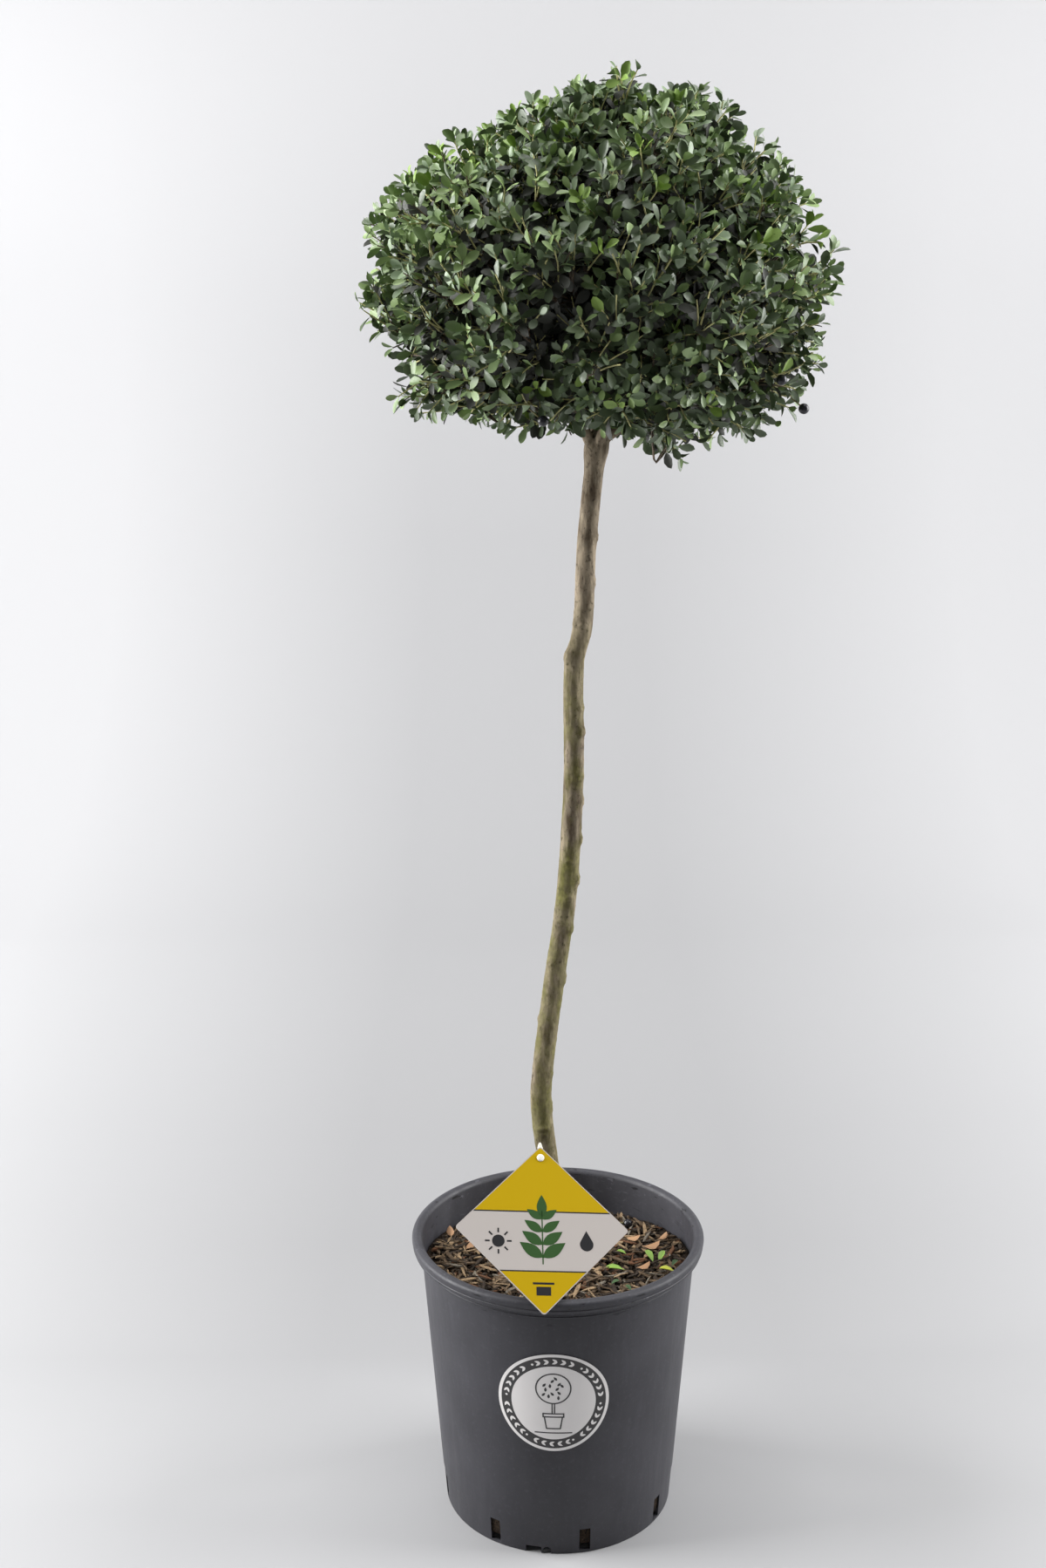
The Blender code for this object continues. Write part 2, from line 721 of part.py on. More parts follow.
def fuse(pieces):
    """Joins overlapping closed pieces into the first of them."""
    body, *others = pieces
    scene = bpy.context.scene.collection
    group = bpy.data.collections.new("to_fuse")
    scene.children.link(group)
    for piece in others:
        scene.objects.unlink(piece)
        group.objects.link(piece)
    union = body.modifiers.new("union", "BOOLEAN")
    union.operation = "UNION"
    union.operand_type = "COLLECTION"
    union.collection = group
    union.solver = "MANIFOLD"
    bpy.context.view_layer.update()
    fused = bpy.data.meshes.new_from_object(body.evaluated_get(bpy.context.evaluated_depsgraph_get()))
    body.modifiers.clear()
    body.data = fused
    for piece in others:
        bpy.data.objects.remove(piece)
    bpy.data.collections.remove(group)


# The label and the sticker ---------------------------------------------------


def card_frame():
    """The card's right, upward and facing directions."""
    turned_about = Matrix.Rotation(CARD_YAW, 3, "Z") @ Matrix.Rotation(-CARD_LEAN, 3, "X")
    right = turned_about @ Vector((1.0, 0.0, 0.0))
    up = turned_about @ UP
    right, up = (
        right * math.cos(CARD_ROLL) + up * math.sin(CARD_ROLL),
        up * math.cos(CARD_ROLL) - right * math.sin(CARD_ROLL),
    )
    return right, up, right.cross(up)


def make_label():
    right, up, facing = card_frame()
    half = CARD_SIDE / math.sqrt(2)
    middle = CARD_TOP_CORNER - up * half
    outline = []
    for quarter in range(4):
        corner = math.radians(90 * quarter)
        inset = half - CARD_CORNER * math.sqrt(2)
        for step in range(5):
            angle = corner + math.radians(-45 + 22.5 * step)
            outline.append((
                inset * math.cos(corner) + CARD_CORNER * math.cos(angle),
                inset * math.sin(corner) + CARD_CORNER * math.sin(angle),
            ))
    rings = []
    for layer in (0.0, CARD_THICKNESS):
        rings.append([middle + right * x + up * y + facing * layer for x, y in outline])
    card = solid("label_card", *skinned(rings), "card")
    hole = CARD_TOP_CORNER - up * HOLE_FROM_CORNER
    reach = 4 * CARD_THICKNESS
    punch = [circle(hole + facing * layer, facing, HOLE_RADIUS, 12) for layer in (-reach, reach)]
    cut(card, solid("hole_punch", *skinned(punch), "card"))
    make_label_pin(hole, right, up, facing)


def make_label_pin(hole, right, up, facing):
    """A flat pin that stands in the mix, bends to lie behind the card and buttons through its hole."""
    behind = -facing * (GAP + PIN_THICKNESS / 2)
    point = hole + up * (HOLE_FROM_CORNER + PIN_TIP_OVER_CORNER) + behind
    shoulder = hole + up * HOLE_FROM_CORNER * PIN_SHOULDER + behind
    bend = hole - up * PIN_BEND_UNDER_HOLE + behind
    straight = bend + PIN_KNEE
    foot = Vector((straight.x, straight.y, MIX_LEVEL - PIN_IN_MIX))
    across = Vector((right.x, right.y, 0.0)).normalized()
    forward = across.cross(UP)
    path = (
        (foot, across, forward, PIN_FOOT_SHARE),
        (foot + UP * PIN_POINT, across, forward, 1.0),
        (straight, across, forward, 1.0),
        (bend, right, (forward + facing).normalized(), 1.0),
        (shoulder, right, facing, 1.0),
        (point, right, facing, PIN_TIP_SHARE),
    )

    def strip(name, grown):
        rings = []
        for centre, wide, thick, share in path:
            side = wide * (PIN_WIDTH / 2 * share + grown)
            face = thick * (PIN_THICKNESS / 2 + grown)
            near, far = centre - face, centre + face
            rings.append([near - side, near + side, far + side, far - side])
        rings[0] = [corner - UP * grown for corner in rings[0]]
        return solid(name, *skinned(rings), "pin_plastic")

    button_low = CARD_THICKNESS + GAP
    shank_ends = (-GAP - PIN_THICKNESS / 2, button_low + BUTTON_THICKNESS / 2)
    shank = [circle(hole + facing * layer, facing, SHANK_RADIUS, 10) for layer in shank_ends]
    button = []
    for layer, radius in ((0.0, 1.0), (0.5, 1.0), (1.0, BUTTON_EDGE)):
        centre = hole + facing * (button_low + layer * BUTTON_THICKNESS)
        button.append(circle(centre, facing, BUTTON_RADIUS * radius, 16))
    pieces = [strip("label_pin", 0.0)]
    pieces.append(solid("shank", *skinned(shank), "pin_plastic"))
    pieces.append(solid("button", *skinned(button), "pin_plastic"))
    fuse(pieces)
    cut(bpy.data.objects["potting_mix"], strip("pin_socket", GAP))


def make_sticker():
    """A round film that follows the pot's wall, in upright strips."""
    count = STICKER_SEGMENTS
    layers = []
    for lift in (2 * GAP, 2 * GAP + STICKER_THICKNESS):
        layer = []
        for i in range(count):
            angle = math.tau * i / count
            height = STICKER_HEIGHT + STICKER_RADIUS * math.sin(angle)
            turn = STICKER_TURN + STICKER_RADIUS * math.cos(angle) / wall_radius(STICKER_HEIGHT)
            radius = wall_radius(height) + lift
            layer.append(Vector((radius * math.sin(turn), -radius * math.cos(turn), height)))
        layers.append(layer)
    points, faces = skinned(layers)
    faces = faces[1:-1]
    for start in (0, count):
        for i in range(count // 2):
            strip = (i, i + 1, count - i - 1, (count - i) % count)
            faces.append(tuple(start + corner for corner in dict.fromkeys(strip)))
    smooth(solid("pot_sticker", points, faces, "sticker"))


def main():
    clear_scene()
    make_pot()
    make_potting_mix()
    make_trunk_and_boughs()
    make_foliage()
    make_label()
    make_sticker()


main()
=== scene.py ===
"""The looks of a standard topiary in its nursery pot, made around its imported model.

Metres, +Z up, the origin under the middle of the pot. The front, with the label and the sticker, faces -Y.
It is laid out as an add-on: settings, one operator for each piece or group of pieces, a panel, and a main
function that runs the operators in order.
"""

import math
import random

import bmesh
import bpy
import numpy as np
from bpy.props import FloatProperty, FloatVectorProperty, IntProperty, PointerProperty
from mathutils import Matrix, Vector, noise


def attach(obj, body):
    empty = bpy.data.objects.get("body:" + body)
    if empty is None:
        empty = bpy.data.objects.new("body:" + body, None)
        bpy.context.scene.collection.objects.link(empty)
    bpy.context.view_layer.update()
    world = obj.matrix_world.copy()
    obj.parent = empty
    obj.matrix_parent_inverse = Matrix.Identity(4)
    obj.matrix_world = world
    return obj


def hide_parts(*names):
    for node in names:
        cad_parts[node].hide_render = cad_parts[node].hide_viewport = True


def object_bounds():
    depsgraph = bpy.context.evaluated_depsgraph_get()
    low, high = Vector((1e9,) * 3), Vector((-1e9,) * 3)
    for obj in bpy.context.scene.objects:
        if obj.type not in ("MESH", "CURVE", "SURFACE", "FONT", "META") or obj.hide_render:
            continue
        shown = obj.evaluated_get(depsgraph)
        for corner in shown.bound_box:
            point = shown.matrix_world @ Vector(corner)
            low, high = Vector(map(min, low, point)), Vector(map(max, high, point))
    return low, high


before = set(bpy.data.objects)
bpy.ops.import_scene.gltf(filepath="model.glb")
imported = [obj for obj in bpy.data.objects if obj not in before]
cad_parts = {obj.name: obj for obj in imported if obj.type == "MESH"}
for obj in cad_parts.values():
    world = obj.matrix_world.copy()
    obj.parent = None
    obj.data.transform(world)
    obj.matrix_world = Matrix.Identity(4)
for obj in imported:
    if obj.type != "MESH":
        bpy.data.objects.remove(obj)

bl_info = {
    "name": "Standard topiary in a pot",
    "version": (1, 0, 0),
    "blender": (4, 5, 0),
    "location": "3D View > Sidebar > Topiary",
    "description": "Makes the foliage, bark, pot, mulch, label and stage of a standard topiary",
    "category": "Object",
}

CAD_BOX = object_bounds()
BOX_LOW, BOX_HIGH = (np.array(corner) for corner in CAD_BOX)
UP = Vector((0.0, 0.0, 1.0))
GAP = 0.0003
SEED = 17
GOLDEN_TURN = math.pi * (3 - math.sqrt(5))
MM = 0.001

# Pot
POT_HEIGHT = 0.316
RIM_RADIUS = 0.160
RIM_BAND = 0.015
RIM_SKIN = 0.0022
WALL_TOP_RADIUS = 0.150
FOOT_RADIUS = 0.1268
WALL = 0.0022
FLOOR = 0.0025
FOOT_RING = 0.0032
CHANNEL_INNER_RADIUS = 0.097
CHANNEL_HEIGHT = 0.008
CHANNEL_SLOPE = 0.0015
POT_SEGMENTS = 192
SLOTS = 8
FIRST_SLOT = math.radians(12)
SLOT_WIDTH = 0.012
SLOT_LOW, SLOT_HIGH = 0.003, 0.030
NOTCHES = 2
FIRST_NOTCH = math.radians(-10.5)
NOTCH_WIDTH = 0.028
NOTCH_HEIGHT = 0.009
CUT_DEPTH = 0.014
SLOT_CORNER, NOTCH_CORNER = 0.0007, 0.0006
NOTCH_ARCH = 0.0040
# The pot's section: levels of the step over the foot, of points up the wall and of one inside
STEP_LOW, STEP_HIGH = 0.038, 0.040
WALL_LEVELS = (0.10, 0.16, 0.22)
INNER_LEVEL = 0.25
BEAD_UNDER_RIM, BEAD_SUNK = 0.0085, 0.0003
RIM_TOP_SKIN = 0.003
LIP_STEP = 0.0006
GROOVE_OVER_LIP = 0.0052
FOOT_ROUND, LIP_ROUND, GROOVE_ROUND = 0.0008, 0.0011, 0.0010
TOP_ROUND, INNER_ROUND = 0.0042, 0.0056
TINY_STEP = 0.0002

# Potting mix
MIX_LEVEL = 0.278
MIX_BACK_DROP = 0.008
MIX_SIDE_RISE = 0.009
COLLAR_LEVEL = 0.280
COLLAR_SHARE, COLLAR_END = 0.24, 0.45
MIX_RINGS, MIX_SEGMENTS = 60, 144
MIX_FOOT_LEVELS = (0.02, 0.04)
MIX_ROUGHNESS, MIX_LUMPS = 0.0022, 120
CHIP_BAND = 0.004

# Trunk: its bends as (height, right, back), from the collar to the fork
TRUNK_BENDS = (
    (0.2803, -0.0010, 0.000),
    (0.350, -0.0050, 0.001),
    (0.434, -0.0153, 0.002),
    (0.480, -0.0179, 0.002),
    (0.592, -0.0051, 0.003),
    (0.697, 0.0092, 0.002),
    (0.830, 0.0167, -0.002),
    (0.947, 0.0170, -0.004),
    (0.982, 0.0252, -0.003),
    (1.068, 0.0295, -0.002),
    (1.163, 0.0390, 0.000),
    (1.184, 0.0430, 0.000),
)
TRUNK_LOW_RADIUS = 0.0118
TRUNK_HIGH_RADIUS = 0.0096
FLARE, FLARE_HEIGHT = 0.0034, 0.016
FORK_SWELL, FORK_HEIGHT, FORK_SPREAD = 0.0030, 1.162, 0.014
TRUNK_END_RADIUS = 0.0082
TRUNK_RINGS, TRUNK_SIDES = 240, 40
BARK_VOXEL = 0.00112
BARK_RELAX, BARK_RELAX_STEPS = 0.5, 3
# The bark's relief: broad swellings, fine ridges, and a plain grain over the fork
SWELL_HEIGHT, SWELL_WAVES, SWELL_UPRIGHT = 0.00035, 55, 0.6
RIDGE_HEIGHT, RIDGE_WAVES, RIDGE_UPRIGHT = 0.00026, 330, 0.35
GRAIN_HEIGHT, GRAIN_WAVES = 0.0004, 240
# A scar's bulge, the dip in its middle and the rings round it. Their reach is in sizes of the scar.
SCAR_BULGE, SCAR_BULGE_REACH = 0.00060, 1.35
SCAR_DIP, SCAR_DIP_REACH = 0.00034, 0.55
SCAR_RINGS, SCAR_RINGS_REACH, SCAR_WAVES = 0.00022, 1.1, 7.0
SCAR_END = 2.6
# The green film on the bark comes in and fades out between these heights
ALGAE_FROM, ALGAE_TO = (0.30, 0.55), (0.86, 1.02)
# Pruning scars and knots: height, turn from the front towards the right in degrees, half width, half height
SCARS = (
    (1.074, 80, 3.4, 3.0),
    (1.029, 85, 3.0, 3.2),
    (0.988, -25, 5.4, 4.0),
    (0.955, -67, 4.5, 5.0),
    (0.925, 170, 4.0, 3.4),
    (0.901, 56, 3.6, 3.0),
    (0.876, 58, 4.6, 4.0),
    (0.845, -150, 3.4, 3.0),
    (0.828, 40, 4.6, 3.6),
    (0.802, 78, 4.2, 3.4),
    (0.760, 76, 4.6, 3.8),
    (0.737, -4, 4.0, 2.4),
    (0.716, 78, 5.0, 4.4),
    (0.697, 15, 4.4, 3.4),
    (0.671, -21, 4.6, 3.4),
    (0.662, 66, 4.0, 3.2),
    (0.640, 150, 4.2, 3.4),
    (0.625, -48, 3.6, 2.8),
    (0.606, 77, 4.4, 4.4),
    (0.560, -120, 4.0, 3.2),
    (0.500, 56, 3.0, 4.0),
    (0.461, 80, 3.2, 5.0),
    (0.436, 2, 6.4, 4.6),
    (0.380, -110, 4.0, 3.2),
)

# Crown
CROWN_CENTRE = np.array((0.039, 0.0, 1.315))
CROWN_RADIUS = 0.234
CROWN_RISE = 0.199
CROWN_DROP = 0.158
DOME_POWER = 1.8
UNDERSIDE_POWER = 2.4
DOME_SHIFT, DOME_SHIFT_FROM, DOME_SHIFT_OVER = 0.022, 1.385, 0.10
# Swellings of its plan: number round it, phase and height as a share of the radius
CROWN_LUMPS = ((2, 0.4, 0.010), (3, 1.9, 0.012), (5, 0.7, 0.008))
SURFACE_STEPS = 24
HOLLOW_CENTRE = Vector((0.043, 0.0, 1.196))
HOLLOW_RADIUS = 0.060
MASS_SPREAD = 0.142
MASS_LEVEL = 0.0
TOP_MASS_LEVEL = 0.075

# Boughs: name, turn from the right towards the back, rise from level, start on the trunk
BOUGHS = (
    ("right", 0, 12, 1.169),
    ("back_right", 72, 34, 1.159),
    ("back_left", 144, 26, 1.163),
    ("front_left", 216, 32, 1.158),
    ("front_right", 288, 28, 1.162),
    ("top", 0, 86, 1.184),
)
BOUGH_BASE_RADIUS = 0.0056
LEADER_BASE_RADIUS = 0.0066
BOUGH_TIP_RADIUS = 0.0036
BOUGH_SAG = 0.006
BOUGH_SWELL, BOUGH_SWELL_REACH = 0.35, 0.22
LEADER_SUNK = 0.006
BOUGH_STEPS, STEM_STEPS, BOUGH_SIDES = 13, 9, 14
STEM_STRAIGHT = 0.010
STEM_TIP_RADIUS = 0.0030

# Branches, one for each sprig of the solids, each with sprays, and shoots close together in each spray
BRANCHES = 116
BRANCH_DEPTH = 0.085
# The depth's least and greatest share, and how far a branch's middle wanders
BRANCH_DEPTHS, BRANCH_BEND = (0.85, 1.1), 0.008
BRANCH_RADIUS, BRANCH_TIP_RADIUS = 0.0022, 0.0013
# How far the crown's outline reaches from the front, as shares at every 15 degrees from the right upwards
FRONT_OUTLINE = (
    0.971, 0.885, 1.003, 0.863, 1.028, 1.028, 0.955, 0.945,
    0.972, 0.938, 1.078, 0.976, 0.990, 0.903, 1.004, 0.922,
    0.789, 0.810, 0.823, 0.905, 1.036, 1.043, 0.982, 1.002,
)
FAN_RADIUS = 0.041
FAN_DOME = 0.012
FAN_WANDER = 0.006
BRANCH_JITTER, SPRAY_JITTER, SHOOT_JITTER = 0.006, 0.007, 0.006
SUNK_SHARE, SUNK_BY = 0.22, 0.026
PROUD_SHARE, PROUD_BY = 0.14, 0.009
INNER_SPRAYS, INNER_OUT = 3, 0.75
INNER_BY = 0.048
SPRAY_RADIUS, SPRAY_REACH = 0.0140, (0.5, 1.2)
SPRAY_LENGTH, SPRAY_STRAIGHT = 0.060, 0.35
SPRAY_STEM_RADIUS = 0.0013
# Where a spray leaves its branch, as a share of it: for the middle spray, less for those further out
SPRAY_START, SPRAY_START_LESS, SPRAY_START_JITTER = 1.02, 0.5, 0.08
SPRAY_START_LIMITS = (0.3, 1.0)
SHOOT_TURN_JITTER = 0.3
SHOOT_STRAIGHT = 0.033
SHOOT_LIFT = 0.75
SHOOT_SPREAD = 0.45
SHOOT_WANDER = 0.16
UNDERSIDE_DROOP = 0.35
YOUNG_TWIG_SHARE = 0.85
OLD_TWIG, OLD_TWIG_DARK = (0.14, 0.10, 0.060), (0.035, 0.024, 0.016)
# Share of the leaves that are missing on the underside, and half of it at the left and right
THINNED = 0.36
SHOOT_RADIUS, SHOOT_TIP_RADIUS = 0.0012, 0.0007
LEAF_CLEAR_OF_TRUNK, CLEAR_OVER_TRUNK = 0.020, 0.02
FORK_CLEARANCE = 0.034

# Leaves: stations from the foot of the stalk to the tip, as (share of length, share of half width)
LEAF_STATIONS = ((0.13, 0.09), (0.38, 0.72), (0.68, 1.00), (0.91, 0.62))
ROSETTE = 4
ROSETTE_STEP = 0.0022
LEAF_STEP, LEAF_STEP_JITTER = 0.0068, 0.0008
LEAF_FIRST, LEAF_LOWEST = 0.001, 0.02
LEAF_ANGLE_TIP, LEAF_ANGLE_OLD, LEAF_OLD_FROM = math.radians(27), math.radians(58), 5
LEAF_ANGLE_JITTER = math.radians(10)
LEAF_TURN, LEAF_TURN_JITTER = math.radians(137.5), math.radians(22)
LEAF_ROLL = math.radians(24)
LEAF_FOLD, LEAF_BEND = 0.36, 0.14
LEAF_FOLDS, LEAF_BENDS, LEAF_WIDTHS = (0.2, 1.6), (0.3, 1.7), (0.88, 1.14)
# How far the upper sides turn to the light, which comes from above and from outside
LEAF_LIGHT_TURN, LEAF_LIGHT_TURNS = 0.14, (0.2, 1.2)
LIGHT_ABOVE, LIGHT_OUTSIDE = 0.6, 0.6
# Lengths: the share at the tip of a shoot, what each next leaf gains, and how they vary
TIP_LEAF, TIP_LEAF_GAIN = 0.70, 0.15
LENGTH_JITTER, LENGTH_LIMITS = 0.13, (0.7, 1.3)

# The greens of the leaves with their roughness, and the numbers of some of them
LEAF_TONES = (
    ("leaf_dark", 0.40),
    ("leaf_middle", 0.42),
    ("leaf_grey", 0.38),
    ("leaf_light", 0.46),
    ("leaf_young", 0.48),
    # The shaded green is painted shade
    ("leaf_shaded", 0.60),
)
DARK, LIGHT, YOUNG, SHADED = 0, 3, 4, 5
# Painted light and shade: a shoot's draw is moved towards the light greens by how far it faces up, down,
# sideways and left
PAINTED_LIGHT_UP, PAINTED_SHADE_DOWN, PAINTED_LIGHT_SIDEWAYS, PAINTED_LIGHT_LEFT = 0.16, 0.36, 0.44, 0.14
SIDEWAYS_FROM, SIDEWAYS_TO = 0.6, 0.75
# A draw under each of these limits gives dark, middle and grey shoots, and over them light ones
TONE_LIMITS = (0.42, 0.72, 0.88)
STRAY_SHARE, STRAY_TONES = 0.30, (0.40, 0.30, 0.20, 0.10)
SPROUT_LOW, SPROUT_HIGH, SPROUT_LEAVES = 0.5, 1.3, 5
LIGHT_TIP_LEAVES, LIGHT_TIP_SHARE = 2, 0.4
# Leaves given the shaded green as painted shade: those of sunk shoots, though fewer at the sides and on
# top, and a shoot's lowest ones
SUNK_LIT_SIDEWAYS, SUNK_LIT_UP, SUNK_SHADED = 0.7, 0.6, (0.1, 1.0)
SHADED_SHARE, SHADED_FROM = 1.25, 3

# How far the tips of leaves and of shoots stay inside the part's box
BOX_MARGIN, TIP_MARGIN = 0.003, 0.008

# Berries
BERRY_RADIUS = 0.0052
BERRY_DIMPLE = ((0.16, 0.93), (0.0, 0.86))
BERRY_STALK, STALK_RADII = 0.011, (0.0009, 0.0008, 0.0007)
STALK_BEND = Vector((0.5, 0.0, -0.3))
BERRY_SIDES, STALK_SIDES = 14, 5
# Berries that hang clear of the leaves, as (right, back, height)
SHOWN_BERRIES = ((0.2350, -0.055, 1.2007), (0.2072, -0.097, 1.2286), (-0.0156, -0.135, 1.1938))
SHOWN_HANG = Vector((0.75, 0.0, -0.65)).normalized()
HIDDEN_BERRIES = 14
HIDDEN_HANG = Vector((0.0, 0.1, -1.0)).normalized()
HIDDEN_BEHIND, HIDDEN_OUT = -0.05, 0.002

# Mulch
CHIPS = 3600
CHIP_CLEAR_OF_TRUNK, CHIP_CLEAR_OF_WALL = 0.011, 0.002
CHIP_OUTLINE = ((-1.0, -0.3), (-0.55, -1.0), (0.5, -0.9), (1.0, -0.15), (0.6, 0.95), (-0.5, 1.0))
CHIP_CORNERS = len(CHIP_OUTLINE)
CHIP_CURL, CHIP_BOW, CHIP_TOP_INSET = (-0.6, 0.9), 0.12, 0.14
# Shares of its length that a chip's middle keeps from the wall and from the trunk
CHIP_FROM_WALL, CHIP_FROM_TRUNK = 0.42, 0.35
CHIP_THINNEST, CHIP_THICKNESS = 0.0008, (0.16, 0.32)
CHIP_TILT, CHIP_PITCH = 16, 9
CHIP_TONES = ("dark", "brown", "tan", "red", "grey")
# Kinds of chip: share, lengths, widths as shares of the length, levels in the layer, and the weight
# of each tone
CHIP_KINDS = (
    (0.46, 0.005, 0.012, 0.30, 0.70, 0.0000, 0.0025, (60, 26, 3, 8, 3)),
    (0.38, 0.009, 0.019, 0.20, 0.48, 0.0020, 0.0058, (40, 32, 12, 10, 6)),
    (0.16, 0.018, 0.036, 0.09, 0.20, 0.0045, 0.0080, (28, 34, 20, 10, 8)),
)
# Leaves on the mulch: right, back, length, turn in degrees, rise in degrees, tone
FALLEN_LEAVES = (
    (0.062, -0.032, 0.023, 170, 6, "fresh"),
    (0.101, -0.010, 0.019, 118, 30, "fresh"),
    (0.113, -0.013, 0.017, 62, 34, "fresh"),
    (0.118, -0.043, 0.019, 160, 10, "yellow"),
    (0.126, -0.030, 0.014, 60, 12, "green"),
    (0.104, 0.017, 0.021, 4, 8, "dry"),
    (0.118, 0.036, 0.014, 30, 20, "dry"),
    (0.085, 0.040, 0.017, -8, 4, "dry"),
    (0.092, -0.030, 0.017, 20, 8, "dry"),
    (0.071, 0.004, 0.013, 150, 12, "fresh"),
    (0.060, -0.062, 0.013, 35, 10, "green"),
    (0.074, -0.076, 0.012, 120, 14, "green"),
    (-0.103, 0.080, 0.014, 96, 24, "green"),
    (-0.092, 0.094, 0.012, 60, 20, "fresh"),
    (-0.098, 0.022, 0.020, 68, 10, "dry"),
    (-0.120, 0.050, 0.016, 100, 14, "dry"),
    (-0.070, -0.012, 0.012, 20, 12, "fresh"),
    (-0.060, 0.100, 0.018, 30, 6, "dry"),
    (0.020, 0.112, 0.019, 200, 8, "yellow"),
    (0.030, 0.070, 0.017, 140, 6, "dry"),
    (-0.050, -0.115, 0.019, 160, 8, "dry"),
)
FALLEN_LIFT = 0.0062
# Their tones: colour, roughness, width as a share of the length, curl
FALLEN_TONES = {
    "fresh": ((0.20, 0.34, 0.050), 0.42, 0.42, 0.9),
    "green": ((0.050, 0.105, 0.035), 0.42, 0.42, 0.9),
    "yellow": ((0.42, 0.44, 0.040), 0.42, 0.42, 0.9),
    "dry": ((0.36, 0.20, 0.100), 0.60, 0.56, -1.2),
}
SOIL_BERRY, SOIL_BERRY_LIFT = (0.082, 0.080), 0.005
SOIL_BERRY_LIES = Vector((0.9, 0.2, -0.2)).normalized()

# Label card on its pin
CARD_SIDE = 0.1287
CARD_CORNER = 0.003
CARD_THICKNESS = 0.0008
CARD_TOP_CORNER = Vector((-0.0194, -0.0363, 0.4305))
CARD_LEAN = math.radians(47.4)
CARD_YAW = math.radians(10.35)
CARD_ROLL = math.radians(-6.86)
HOLE_RADIUS = 0.0023
PUNCH_REACH = 0.003
HOLE_FROM_CORNER = 0.0130
PIN_WIDTH = 0.006
PIN_THICKNESS = 0.0018
PIN_TIP_OVER_CORNER = 0.0050
PIN_BEND_UNDER_HOLE = 0.012
PIN_KNEE = Vector((0.0, 0.004, -0.008))
PIN_SUNK, PIN_BULGE = 0.010, 0.0003
PIN_SIDES, PIN_SQUARENESS = 12, 0.45
BUTTON_RADIUS = 0.0040
BUTTON_THICKNESS = 0.0012
# The button's section, as shares of its radius and thickness
BUTTON_PROFILE = (
    (0.0, -0.3), (0.95, -0.3), (1.0, 0.0), (1.0, 0.4), (0.93, 0.78), (0.74, 1.0), (0.40, 1.06), (0.0, 1.0),
)
INK_LIFT = 0.00004
LEAF_PRINT_STEPS, DROP_STEPS = 8, 23
# The card's print in millimetres: its margin, the lower and upper edges of two ink lines, the border of
# the hole, the sprig, sun and drop as (right, up, size), and bars as (right, up, length, width)
CARD_MARGIN = 1.2
HIGH_LINE, LOW_LINE = (17.6, 19), (-46, -44.6)
HOLE_BORDER = 1.2
BEYOND_CARD = 200
CARD_SPRIG = (0, -38, 72)
CARD_SUN, CARD_DROP = (-46, -14, 6.5), (46, -16, 7.0)
CARD_BARS = ((0, -58, 22, 2.2), (0, -66, 15, 9))

# Round sticker on the pot
STICKER_RADIUS = 0.059
STICKER_HEIGHT = 0.1912
STICKER_TURN = math.radians(-3)
STICKER_THICKNESS = 0.0005
STICKER_STRIP = 0.003
# The sticker's print in millimetres: its dark ring, the wreath on it and the picture of a potted ball
RING_INNER, RING_OUTER, WREATH_RADIUS = 44.5, 55.6, 50.0
WREATH_STEPS, WREATH_GROUP = 36, 6
BALL_LEVEL, BALL_INNER, BALL_OUTER = 17.5, 17.2, 18.7
BALL_LEAVES, BALL_REACH = 13, 14.0
# Bars of its stem, pot and ground line: right, up, length, width, turn
PICTURE_BARS = (
    (-1.3, -6.8, 1.3, 11.6, 0),
    (1.3, -6.8, 1.3, 11.6, 0),
    (0, -13.0, 23, 1.5, 0),
    (0, -17.0, 23, 1.5, 0),
    (-10.8, -15, 1.5, 5.4, 0),
    (10.8, -15, 1.5, 5.4, 0),
    (-8.4, -24.2, 1.5, 14.4, 9),
    (8.4, -24.2, 1.5, 14.4, -9),
    (0, -31.2, 15.4, 1.5, 0),
    (0, -36.5, 40, 1.4, 0),
)

# Camera and room
CAMERA_PLACE = Vector((-0.0357, -1.842, 1.261))
CAMERA_PITCH = math.radians(13.48)
CAMERA_ROLL = math.radians(-0.29)
CAMERA_LENS = 42.0
CAMERA_SENSOR = 36.0
# The room's floor and backdrop: front end, back, round bend between them, top and half width
ROOM_FRONT, ROOM_BACK, ROOM_BEND, ROOM_TOP, ROOM_SIDE = -6.0, 3.4, 1.4, 6.0, 7.0
ROOM_BEND_STEPS = 16
# Lights: name, place, aim, width, height, share of the power
LIGHTS = (
    ("left_softbox", (-2.6, 0.1, 1.7), (0.0, 0.0, 1.1), 1.8, 2.6, 1.95),
    ("right_softbox", (2.6, 0.2, 1.7), (0.0, 0.0, 1.1), 1.8, 2.6, 1.46),
    ("top_softbox", (0.0, 0.15, 3.4), (0.0, 0.0, 0.5), 2.6, 2.2, 0.74),
    ("front_fill", (0.3, -3.4, 2.4), (0.0, 0.0, 0.8), 2.4, 2.0, 0.03),
    ("backdrop_left", (-2.6, 1.8, 2.0), (-1.6, 3.4, 1.5), 1.6, 1.6, 0.60),
    ("backdrop_right", (2.6, 1.8, 2.0), (1.6, 3.4, 1.5), 1.6, 1.6, 0.45),
)
AIR_COLOUR = (0.98, 0.99, 1.0)
